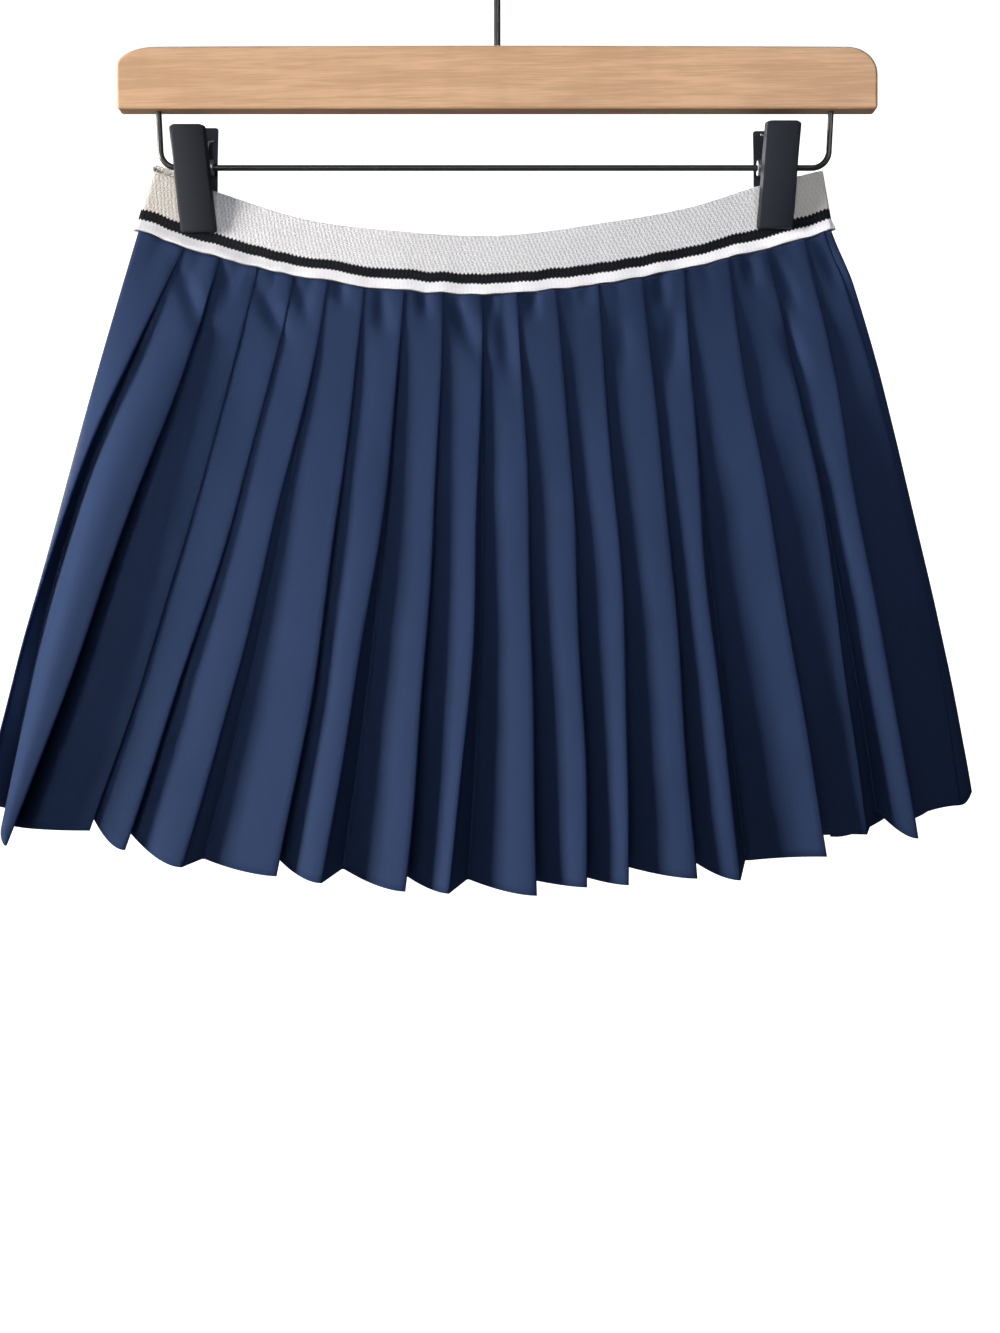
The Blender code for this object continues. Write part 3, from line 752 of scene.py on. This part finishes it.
def clip_plastic(mottle):
    made, tree, shader = new_material("clip_plastic", {"Roughness": 0.6,
                                                       "Specular IOR Level": 0.25})
    tone = place_group(tree, mottle, {"Scale": 60.0, "Amount": 0.12})
    paint(tree, shader, CLIP_BLACK, tone["Shade"])
    bump(tree, shader, specks(tree, object_place(tree), 2600.0, 2.0), 0.00006, 0.5)
    return made


def spring_steel(mottle):
    made, tree, shader = new_material("spring_steel", {"Roughness": 0.35, "Metallic": 1.0})
    tone = place_group(tree, mottle, {"Scale": 300.0, "Amount": 0.2})
    paint(tree, shader, STEEL_GREY, tone["Shade"])
    return made


# ---- garment ----

BAND = {
    name: np.array([row[i] for row in BAND_EDGE])
    for i, name in enumerate(
        ("upper_x", "upper_z", "lower_x", "lower_z", "upper_depth", "lower_depth"))
}
BAND_LEFT, BAND_RIGHT = BAND["lower_x"][0], BAND["lower_x"][-1]


def band_value(column, lower_x):
    return smooth_curve(BAND["lower_x"], BAND[column], lower_x)


def band_point(lower_x, down, facing):
    """A point on the middle of the band; down runs from 0 at the top to 1."""
    x = mix(band_value("upper_x", lower_x), lower_x, down)
    z = mix(band_value("upper_z", lower_x), band_value("lower_z", lower_x), down)
    opening = ease((down - BAND_GRIP) / (1 - BAND_GRIP))
    depth = mix(band_value("upper_depth", lower_x), band_value("lower_depth", lower_x), opening)
    ripple = BAND_RIPPLE * math.sin(lower_x * 0.21 + 1.7 * facing) * math.sin(lower_x * 0.083)
    gathered = ease((down - 0.45) / 0.5)
    free = ease((depth - 1.6) / 2.0)
    y = facing * (depth + ripple * gathered * free)
    return x, y, z + band_waver(lower_x, facing) * ease(down / 0.6)


def band_waver(lower_x, facing):
    """How far the gathers under the band pull its lower edge up or down."""
    place = Vector((lower_x * 0.055, 5.0 * facing, 0.0))
    small = Vector((lower_x * 0.13, 2.0 * facing, 4.0))
    return BAND_WAVER * (noise.noise(place) + 0.5 * noise.noise(small))


def raise_corner(x, y, z, down):
    """The back of the band stands a little higher at its left end."""
    risen, start = BAND_CORNER_X
    behind = ease((y + 1.2) / 2.4)
    lift = BAND_CORNER_LIFT * ease((start - x) / (start - risen)) * behind * (1 - down)
    return x, y, z + lift


def loop_end(point, reach, angles):
    """Points round a loop's flat end, beside its last point on one face."""
    x, y, z = point
    turns = [math.radians(angle) for angle in angles]
    return [(x - reach * math.cos(turn), y * math.sin(turn), z) for turn in turns]


def band_line(down):
    """A closed line round the band at one height."""
    line = []
    for facing, start, end in ((-1, BAND_LEFT, BAND_RIGHT), (1, BAND_RIGHT, BAND_LEFT)):
        first = band_point(start, down, facing)
        reach = math.copysign(abs(first[1]), end - start)
        line += loop_end(first, reach, QUARTER_TURN)
        line += [band_point(mix(start, end, c / BAND_COLUMNS), down, facing)
                 for c in range(BAND_COLUMNS)]
        line += loop_end(band_point(end, down, facing), -reach, (90, *QUARTER_TURN[:0:-1]))
    return [raise_corner(x, y, z, down) for x, y, z in line]


def line_lengths(line):
    points = np.array(line)
    steps = np.linalg.norm(np.diff(points, axis=0), axis=1)
    return np.concatenate([[0.0], np.cumsum(steps)])


def add_shell(piece, thickness):
    """Give a sheet its thickness, half to each side."""
    shell = piece.modifiers.new("thickness", "SOLIDIFY")
    shell.thickness = thickness * MM
    shell.offset = 0.0


def build_waistband(finish):
    rows = [band_line(r / BAND_ROWS) for r in range(BAND_ROWS + 1)]
    places = line_lengths(rows[-1] + rows[-1][:1])
    data = grid_mesh("waistband_elastic", rows,
                     lambda r, c: (places[c], BAND_HEIGHT * (1 - r / BAND_ROWS)), closed=True)
    piece = add_piece("waistband_elastic", data, finish, ["waistband"])
    add_shell(piece, BAND_THICKNESS)
    round_edges(piece, BAND_RIM, 2)
    return piece, places[-1]


def pleat_press(level):
    """Share of the pleats' depth that the band's press leaves at a level."""
    return mix(BAND_PRESS, 1.0, ease(level / PRESS_END))


class Panel:
    """A pleated skirt panel, written as seen from its own side."""

    def __init__(self, name, sides, folds, creases, dips, turn):
        self.name = name
        self.sides = sides
        self.folds = folds
        self.creases = creases
        self.dips = dips
        self.turn = turn      # 1 for the front panel, -1 for the back one

    def on_band(self, x):
        return min(max(x * self.turn, BAND_LEFT), BAND_RIGHT)

    def half_depth(self, x, level):
        """How far the panel's outline stands out from the middle plane."""
        at_band = band_value("lower_depth", self.on_band(x))
        left = along(self.sides[0][:3], level)
        right = along(self.sides[1][:3], level)
        across = min(abs((2 * x - left - right) / (right - left)), 1.0)
        square = mix(WAIST_SQUARENESS, HEM_SQUARENESS[0 if x * self.turn < 0 else 1], level)
        deepest = along(OUTLINE_DEPTH, level)
        open_skirt = deepest * (1 - across**square) ** (1 / square)
        return mix(at_band, open_skirt, ease(level / FLARE_END))

    def crease_depth(self, waist_x, level):
        """How far the gathers under the band push the cloth in at this place."""
        pushed = 0.0
        for crease_x, end, width, depth, drift in self.creases:
            if level < end:
                share = level / end
                reach = (waist_x - crease_x - drift * share) / (width * (1 + share))
                pushed += depth * (1 - share) ** 1.5 * math.exp(-reach * reach)
        return pushed

    def dip_depth(self, x, z):
        """How far the soft hollows push the cloth in at this place."""
        pushed = 0.0
        for dip_x, dip_z, width, height, depth, drift in self.dips:
            up = (z - dip_z) / height
            if abs(up) < 2.5:
                along_x = (x - dip_x + drift * (z - dip_z)) / width
                pushed += depth * math.exp(-along_x * along_x - up * up)
        return pushed

    def point(self, x, depth, waist_x, hem_z, level):
        top = band_value("lower_z", self.on_band(waist_x)) - SEAM_DROP
        top += band_waver(self.on_band(waist_x), -self.turn)
        z = mix(top, hem_z, level)
        lumps = sum(
            height * noise.noise(Vector((x * across, level * down, side * self.turn)))
            for height, across, down, side in CLOTH_LUMPS)
        depth += lumps * ease(level / 0.15) * ease(depth / 5)
        depth -= self.crease_depth(waist_x, level) + self.dip_depth(x, z)
        world_x = x * self.turn
        start, full = SIDE_SWELL_X
        swell = ease((world_x - start) / (full - start))
        world_x += SIDE_SWELL * swell * ease(level / 0.1) * (1 - ease((level - 0.15) / 0.4))
        return world_x, -max(depth, SEAM_DEPTHS[0]) * self.turn, z

    def fold_places(self, level):
        """Tuck and fold of each pleat at a level: (x, depth, waist x, hem z) for both."""
        press = pleat_press(level)
        pleat = mix(WAIST_PLEAT, HEM_PLEAT, level**PLEAT_GROWTH) * press
        seam = mix(*SIDE_SEAM, level)
        left_x = along(self.sides[0][:3], level)
        places = []
        for number, fold in enumerate(self.folds):
            wander = math.sin(math.pi * level) * sum(
                reach * math.sin(waves * level + shift * number)
                for reach, waves, shift in WANDER)
            proud = WAIST_PLEAT / 2 * (1 - level) * press
            fold_x = along(fold[:3], level) + wander
            lies_back = fold[7] * level**FOLD_LIE
            top = (fold_x, self.half_depth(fold_x, level) + proud - lies_back, fold[0], fold[3])
            if number == 0:
                tuck = (left_x, seam, self.sides[0][0], self.sides[0][3])
            else:
                last = self.folds[number - 1]
                tuck_x = along(last[:3], level) + mix(-WAIST_TUCK, fold[4] - last[2], level)
                depth = max(self.half_depth(tuck_x, level) + proud - pleat,
                            mix(*LEAST_TUCK, level))
                tuck = (tuck_x, depth, last[0] - WAIST_TUCK, fold[5])
            places.append((tuck, top))
        return places

    def line(self, level):
        """One line of points across the panel, from its left side to its right."""
        places = self.fold_places(level)
        seam = mix(*SIDE_SEAM, level)
        press = pleat_press(level)
        tuck_round, fold_round = TUCK_RADIUS * press, FOLD_RADIUS * press
        left_x = along(self.sides[0][:3], level)
        right_x = along(self.sides[1][:3], level)
        left, right = self.sides
        line = [self.point(left_x, depth, left[0], left[3], level) for depth in SEAM_DEPTHS]
        for number, (tuck, top) in enumerate(places):
            tuck_x, tuck_depth, tuck_waist, tuck_z = tuck
            fold_x, fold_depth, fold_waist, fold_z = top
            if number > 0:
                for angle in (180, 225, 270, 315):
                    turn = math.radians(angle)
                    line.append(self.point(
                        tuck_x + tuck_round * math.cos(turn),
                        tuck_depth + tuck_round * (1 + math.sin(turn)),
                        tuck_waist, tuck_z, level))
            start_x = tuck_x + (tuck_round if number > 0 else 0.0)
            start_depth = tuck_depth + (tuck_round if number > 0 else 0.0)
            fullness = mix(WAIST_FULLNESS, self.folds[number][6], ease(level / 0.5))
            for c in range(FACE_COLUMNS + 1):
                t = c / FACE_COLUMNS
                rise = 1 - (1 - t) ** fullness
                sag = 1 - (1 - t) ** FACE_DROP
                line.append(self.point(
                    mix(start_x, fold_x - fold_round, t),
                    mix(start_depth, fold_depth, rise),
                    mix(tuck_waist, fold_waist, t), mix(tuck_z, fold_z, sag), level))
            for angle in (50, 10, -30):
                turn = math.radians(angle)
                line.append(self.point(
                    fold_x - fold_round + fold_round * math.cos(turn),
                    fold_depth - fold_round + fold_round * math.sin(turn),
                    fold_waist, fold_z, level))
            if number + 1 < len(places):
                after = places[number + 1][0]
                end = (after[0] - tuck_round, after[1] + tuck_round)
                end_waist, end_z, corner = after[2], after[3], 1.0
            else:
                end = (right_x, seam)
                end_waist, end_z, corner = right[0], right[3], HEM_CORNER
            for t in (0.25, 0.5, 0.75):
                line.append(self.point(
                    mix(fold_x, end[0], t), mix(fold_depth - 1.8 * fold_round, end[1], t**corner),
                    mix(fold_waist, end_waist, t), mix(fold_z, end_z, t**corner), level))
        line += [self.point(right_x, depth, right[0], right[3], level)
                 for depth in (seam, *reversed(SEAM_DEPTHS))]
        return line

    def build(self, finish):
        levels = [(r / ROWS) ** ROW_CROWDING for r in range(ROWS + 1)]
        rows = [self.line(level) for level in levels]
        places = line_lengths(rows[-1])
        data = grid_mesh(self.name + "_cloth", rows,
                         lambda r, c: (places[c], SKIRT_LENGTH * (1 - levels[r])))
        piece = add_piece(self.name + "_cloth", data, finish, [self.name])
        add_shell(piece, CLOTH)
        return piece, places[-1]


def shorts_half_depth(x, down):
    lower_x = min(max(x, BAND_LEFT), BAND_RIGHT)
    at_band = max(band_value("lower_depth", lower_x) - SHORTS_BEHIND_BAND, SHORTS_LEAST_DEPTH)
    return mix(at_band, SHORTS_HALF_DEPTH, ease((down - 0.14) / 0.3))


def shorts_point(x, down, share, facing):
    lower_x = min(max(x, BAND_LEFT), BAND_RIGHT)
    z = mix(band_value("lower_z", lower_x) - SEAM_DROP, LEG_HEM_Z, down)
    return x, facing * share * shorts_half_depth(x, down), z


def leg_line(down, side):
    """One line round a leg of the shorts, from its centre front to its centre back."""
    table = np.array(LEG_ROWS)
    outer, inner, openness = (np.interp(down, table[:, 0], table[:, c]) for c in (1, 2, 3))
    middle_x = SHORTS_SHIFT + side * inner
    outer_x = SHORTS_SHIFT + side * outer
    middle_depth = shorts_half_depth(middle_x, down)
    outer_depth = shorts_half_depth(outer_x, down)
    from_x = middle_x + side * middle_depth
    to_x = outer_x - side * outer_depth
    line = []
    for facing in (-1, 1):
        half = []
        for angle in QUARTER_TURN:
            turn = math.radians(angle)
            arc_x = mix(from_x, middle_x, math.cos(turn))
            flat_x = mix(middle_x, from_x, angle / 90)
            arc_y = max(math.sin(turn), SHORTS_SEAM / middle_depth)
            half.append(shorts_point(mix(arc_x, flat_x, openness), down,
                                     mix(arc_y, 1.0, openness), facing))
        half += [shorts_point(mix(from_x, to_x, c / LEG_COLUMNS), down, 1.0, facing)
                 for c in range(LEG_COLUMNS + 1)]
        for angle in QUARTER_TURN[:0:-1]:
            turn = math.radians(angle)
            half.append(shorts_point(mix(to_x, outer_x, math.cos(turn)), down,
                                     math.sin(turn), facing))
        line += half + [shorts_point(outer_x, down, 0.0, facing)] if facing == -1 else half[::-1]
    return line


def build_leg(name, side, finish):
    rows = [leg_line(r / LEG_LEVELS, side) for r in range(LEG_LEVELS + 1)]
    places = line_lengths(rows[-1])
    data = grid_mesh(name + "_knit", rows,
                     lambda r, c: (places[c], LEG_LENGTH * (1 - r / LEG_LEVELS)))
    piece = add_piece(name + "_knit", data, finish, [name])
    add_shell(piece, CLOTH)
    return piece, places[-1]


# ---- hanger ----

def build_bar(finish):
    low, high = (Vector(corner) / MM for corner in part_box("hanger_bar"))
    top, foot = high.z, low.z + BAR_FOOT
    left_x = low.x + BAR_LEFT_CORNER[0]
    right_x = high.x - BAR_RIGHT_CORNER[0]
    crown = [(mix(right_x, left_x, i / 20), top + BAR_CROWN * math.sin(math.pi * i / 20))
             for i in range(1, 20)]
    foot_round = (BAR_FOOT, BAR_FOOT)
    outline = (
        arc((right_x, top - BAR_RIGHT_CORNER[1]), BAR_RIGHT_CORNER, 0, 90, 14)
        + crown
        + arc((left_x, top - BAR_LEFT_CORNER[1]), BAR_LEFT_CORNER, 90, 180, 14)
        + arc((low.x + BAR_FOOT, foot), foot_round, 180, 270, 6)
        + arc((high.x - BAR_FOOT, foot), foot_round, 270, 360, 6)
    )
    shape = bmesh.new()
    corners = [shape.verts.new((x * MM, low.y * MM, z * MM)) for x, z in outline]
    face = shape.faces.new(corners)
    pushed = bmesh.ops.extrude_face_region(shape, geom=[face])
    moved = [v for v in pushed["geom"] if isinstance(v, bmesh.types.BMVert)]
    bmesh.ops.translate(shape, verts=moved, vec=(0.0, (high.y - low.y) * MM, 0.0))
    data = mesh_from_bmesh("bar_wood", shape, crisp=40)
    piece = add_piece("bar_wood", data, finish, ["hanger_bar"])
    round_edges(piece, BAR_EASING, 4).harden_normals = True


def build_wire(name, route, diameter, finish, nodes, taper=0):
    """A round wire through (x, y, z) points; taper rounds off its last few points."""
    data = bpy.data.curves.new(name, "CURVE")
    data.dimensions = "3D"
    data.bevel_depth = diameter / 2 * MM
    data.bevel_resolution = 5
    data.use_fill_caps = True
    line = data.splines.new("POLY")
    line.points.add(len(route) - 1)
    line.use_smooth = True
    for point, (x, y, z) in zip(line.points, route):
        point.co = (x * MM, y * MM, z * MM, 1.0)
    for i in range(taper):
        line.points[len(route) - 1 - i].radius = math.sqrt(1 - (1 - (i + 0.3) / taper) ** 2)
    add_piece(name, data, finish, nodes)


def build_hook(finish):
    radius = HOOK_INNER_RADIUS + HOOK_WIRE / 2
    reach = radius + HOOK_NECK_RADIUS
    neck_z = -HOOK_INNER_RADIUS - math.sqrt(reach**2 - HOOK_NECK_RADIUS**2)
    join = math.degrees(math.atan2(neck_z + HOOK_INNER_RADIUS, HOOK_NECK_RADIUS))
    stem_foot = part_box("hook")[0][2] / MM
    neck = (HOOK_NECK_RADIUS,) * 2
    route = [(0.0, stem_foot)]
    route += arc((HOOK_NECK_RADIUS, neck_z), neck, 180, 180 + join, 12)
    route += arc((0.0, -HOOK_INNER_RADIUS), (radius, radius), join, HOOK_MOUTH_ANGLE, 60)[1:]
    tip = arc((0.0, -HOOK_INNER_RADIUS), (radius, radius), HOOK_MOUTH_ANGLE,
              HOOK_MOUTH_ANGLE + HOOK_TIP, HOOK_TIP)[1:]
    points = [(x, 0.0, z) for x, z in route + tip]
    build_wire("hook_wire", points, HOOK_WIRE, finish, ["hook"], taper=HOOK_TIP)


def build_rail(finish):
    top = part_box("wire_rail")[1][2] / MM
    bend_z = RAIL_Z + RAIL_BEND
    bend = (RAIL_BEND, RAIL_BEND)
    left, right = RAIL_LEFT_X + RAIL_LEAN, RAIL_RIGHT_X - RAIL_LEAN
    bar_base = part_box("hanger_bar")[0][2] / MM
    route = [(RAIL_LEFT_X, top), (RAIL_LEFT_X, bar_base)]
    route += arc((left + RAIL_BEND, bend_z), bend, 180, 270, 16)
    route += arc((right - RAIL_BEND, bend_z), bend, 270, 360, 16)
    route += [(RAIL_RIGHT_X, bar_base), (RAIL_RIGHT_X, top)]
    points = [(x, 0.0, z) for x, z in route]
    build_wire("rail_wire", points, RAIL_WIRE, finish, ["wire_rail"])


def lathe(shape, profile, centre, steps):
    """Turn a closed (along, radius) profile about a line along X through the centre."""
    made = []
    for step in range(steps):
        turn = math.tau * step / steps
        made.append([
            shape.verts.new(centre + Vector((a, 0.0, 0.0)) * MM + Vector(
                (0.0, math.cos(turn) * r * MM, math.sin(turn) * r * MM)))
            for a, r in profile])
    for i in range(steps):
        one, two = made[i], made[(i + 1) % steps]
        for j in range(len(profile)):
            k = (j + 1) % len(profile)
            shape.faces.new((one[j], one[k], two[k], two[j]))


def jaw_depths(up):
    """How far forward a jaw's inner and outer faces lie at a height above the rail."""
    heights, inner, outer = zip(*JAW_DEPTHS)
    return np.interp(up, heights, inner), np.interp(up, heights, outer)


def jaw_section(up, inset):
    """One level slice through a jaw: a flat front with eased corners and drafted sides."""
    inner, outer = jaw_depths(up)
    front = JAW_FRONT / 2 - inset
    back = front + JAW_DRAFT
    eased = JAW_CORNER * 0.6
    corners = [
        (-back, inner), (-mix(front, back, 0.1), outer - eased),
        (-front + eased * 0.1, outer - eased * 0.3), (-front + eased, outer),
    ]
    mirrored = [(-x, y) for x, y in reversed(corners)]
    return [(x, -y, up) for x, y in corners + mirrored]


def build_jaw(name, facing, centre_x, lift, lean, plastic):
    """A clip's jaw, with a raised pad at its foot; its ends stay level as it leans."""
    slant = Matrix.Identity(4)
    slant[0][2] = -math.tan(math.radians(lean))
    placed = (Matrix.Translation(Vector((centre_x, 0.0, RAIL_Z + lift)) * MM)
              @ slant @ Matrix.Scale(-facing, 4, Vector((0.0, 1.0, 0.0))))
    low, high = JAW_DEPTHS[0][0], JAW_DEPTHS[-1][0]
    turns = [math.radians(angle) for angle in range(0, 91, 18)]
    rounding = [(JAW_CORNER * (1 - math.cos(turn)), JAW_CORNER * (1 - math.sin(turn)))
                for turn in turns]
    stations = [(low + up, inset) for up, inset in rounding]
    stations += [(row[0], 0.0) for row in JAW_DEPTHS[1:-1]]
    stations += [(high - up, inset) for up, inset in reversed(rounding)]
    shape = bmesh.new()
    rings = [[shape.verts.new(placed @ (Vector(corner) * MM))
              for corner in jaw_section(up, inset)] for up, inset in stations]
    count = len(rings[0])
    for one, two in zip(rings, rings[1:]):
        for i in range(count):
            n = (i + 1) % count
            shape.faces.new((one[i], one[n], two[n], two[i]))
    shape.faces.new(rings[0])
    shape.faces.new(rings[-1])
    data = mesh_from_bmesh(name + "_plate", shape, crisp=30)
    add_piece(name + "_plate", data, plastic, [name])


def build_spring(name, centre_x, steel):
    """The coil spring round the rail, with a bent arm pressing on each jaw."""
    steps = 20
    coil = []
    for i in range(SPRING_TURNS * steps + 1):
        angle = math.tau * i / steps + math.pi
        x = centre_x + SPRING_HALF * (2 * i / (SPRING_TURNS * steps) - 1)
        coil.append((x, SPRING_RADIUS * math.cos(angle),
                     RAIL_Z + SPRING_RADIUS * math.sin(angle)))

    def arm(x, side):
        return [(x + side * reach, side * out, RAIL_Z + up) for reach, out, up in SPRING_ARM]

    points = arm(coil[0][0], -1) + coil + arm(coil[-1][0], 1)[::-1]
    build_wire(name + "_coil", points, SPRING_WIRE, steel, [name])


def build_collars(name, centre_x, steel):
    """The two round pivots, one at each end of a clip's spring, that run on the rail."""
    shape = bmesh.new()
    for side in (-1, 1):
        centre = Vector((centre_x + side * COLLAR_REACH, 0.0, RAIL_Z)) * MM
        lathe(shape, COLLAR, centre, 32)
    data = mesh_from_bmesh(name + "_collars", shape, crisp=50)
    add_piece(name + "_collars", data, steel, [])


# ---- studio ----

def aim(thing, target):
    direction = Vector(target) - thing.location
    thing.rotation_euler = direction.to_track_quat("-Z", "Y").to_euler()


def add_light(name, place, target, size, watts, colour, spread):
    lamp = bpy.data.lights.new(name, "AREA")
    lamp.shape = "SQUARE"
    lamp.size = size
    lamp.energy = watts
    lamp.color = colour
    lamp.spread = math.radians(spread)
    placed = add_to_scene(name, lamp)
    placed.location = place
    aim(placed, target)


def add_backdrop(name, shape, glow):
    """A plain white thing behind the object, which only the camera sees."""
    data = mesh_from_bmesh(name, shape)
    white, _, _ = new_material(name + "_white", {
        "Base Color": (0.85, 0.85, 0.85, 1.0), "Roughness": 0.9,
        "Emission Color": (1.0, 1.0, 1.0, 1.0), "Emission Strength": glow})
    data.materials.append(white)
    backdrop = add_to_scene(name, data)
    backdrop.visible_diffuse = False
    backdrop.visible_glossy = False
    return backdrop


def build_studio():
    """A white surround, a pale floor, soft light and the camera."""
    shape = bmesh.new()
    bmesh.ops.create_icosphere(shape, subdivisions=4, radius=SURROUND_RADIUS)
    surround = add_backdrop("surround", shape, 1.0)
    surround.visible_transmission = False
    surround.visible_shadow = False

    shape = bmesh.new()
    bmesh.ops.create_circle(shape, cap_ends=True, segments=64, radius=FLOOR_RADIUS)
    floor = add_backdrop("floor", shape, 0.7)
    floor.location = (0.0, 0.0, FLOOR_Z)

    world = bpy.data.worlds.new("studio")
    world.use_nodes = True
    sky = world.node_tree.nodes["Background"].inputs
    sky["Color"].default_value = WORLD_COLOUR
    sky["Strength"].default_value = WORLD_STRENGTH
    bpy.context.scene.world = world
    for light in LIGHTS:
        add_light(*light)

    view = bpy.data.cameras.new("camera")
    view.sensor_width = SENSOR
    view.lens = SENSOR * CAMERA_DISTANCE / VIEW_HEIGHT
    view.clip_end = 20.0
    camera = add_to_scene("camera", view)
    camera.location = (CAMERA_X, -CAMERA_DISTANCE, CAMERA_Z)
    camera.rotation_euler = (math.radians(90), 0.0, 0.0)
    bpy.context.scene.camera = camera
    bpy.context.scene.view_settings.view_transform = "Standard"


# ---- the whole object ----

def main():
    weave, mottle = build_weave_group(), build_mottle_group()
    navy = navy_cloth(weave, mottle)
    knit = shorts_knit(weave, mottle)
    elastic = band_elastic(mottle)
    wire = black_wire(mottle)
    plastic = clip_plastic(mottle)
    steel = spring_steel(mottle)

    build_studio()
    build_bar(bar_wood(mottle))
    build_hook(wire)
    build_rail(wire)
    for name, facing, centre_x, lift, lean in JAWS:
        build_jaw(name, facing, centre_x, lift, lean, plastic)
    for name, centre_x in SPRINGS:
        build_spring(name, centre_x, steel)
        build_collars(name, centre_x, steel)

    band, band_round = build_waistband(elastic)
    front, front_width = Panel("skirt_front", FRONT_SIDES, FRONT_FOLDS, FRONT_CREASES,
                               FRONT_DIPS, 1).build(navy)
    back, back_width = Panel("skirt_back", BACK_SIDES, BACK_FOLDS, BACK_CREASES,
                             BACK_DIPS, -1).build(navy)
    left_leg, leg_width = build_leg("shorts_left", -1, knit)
    right_leg, _ = build_leg("shorts_right", 1, knit)


main()
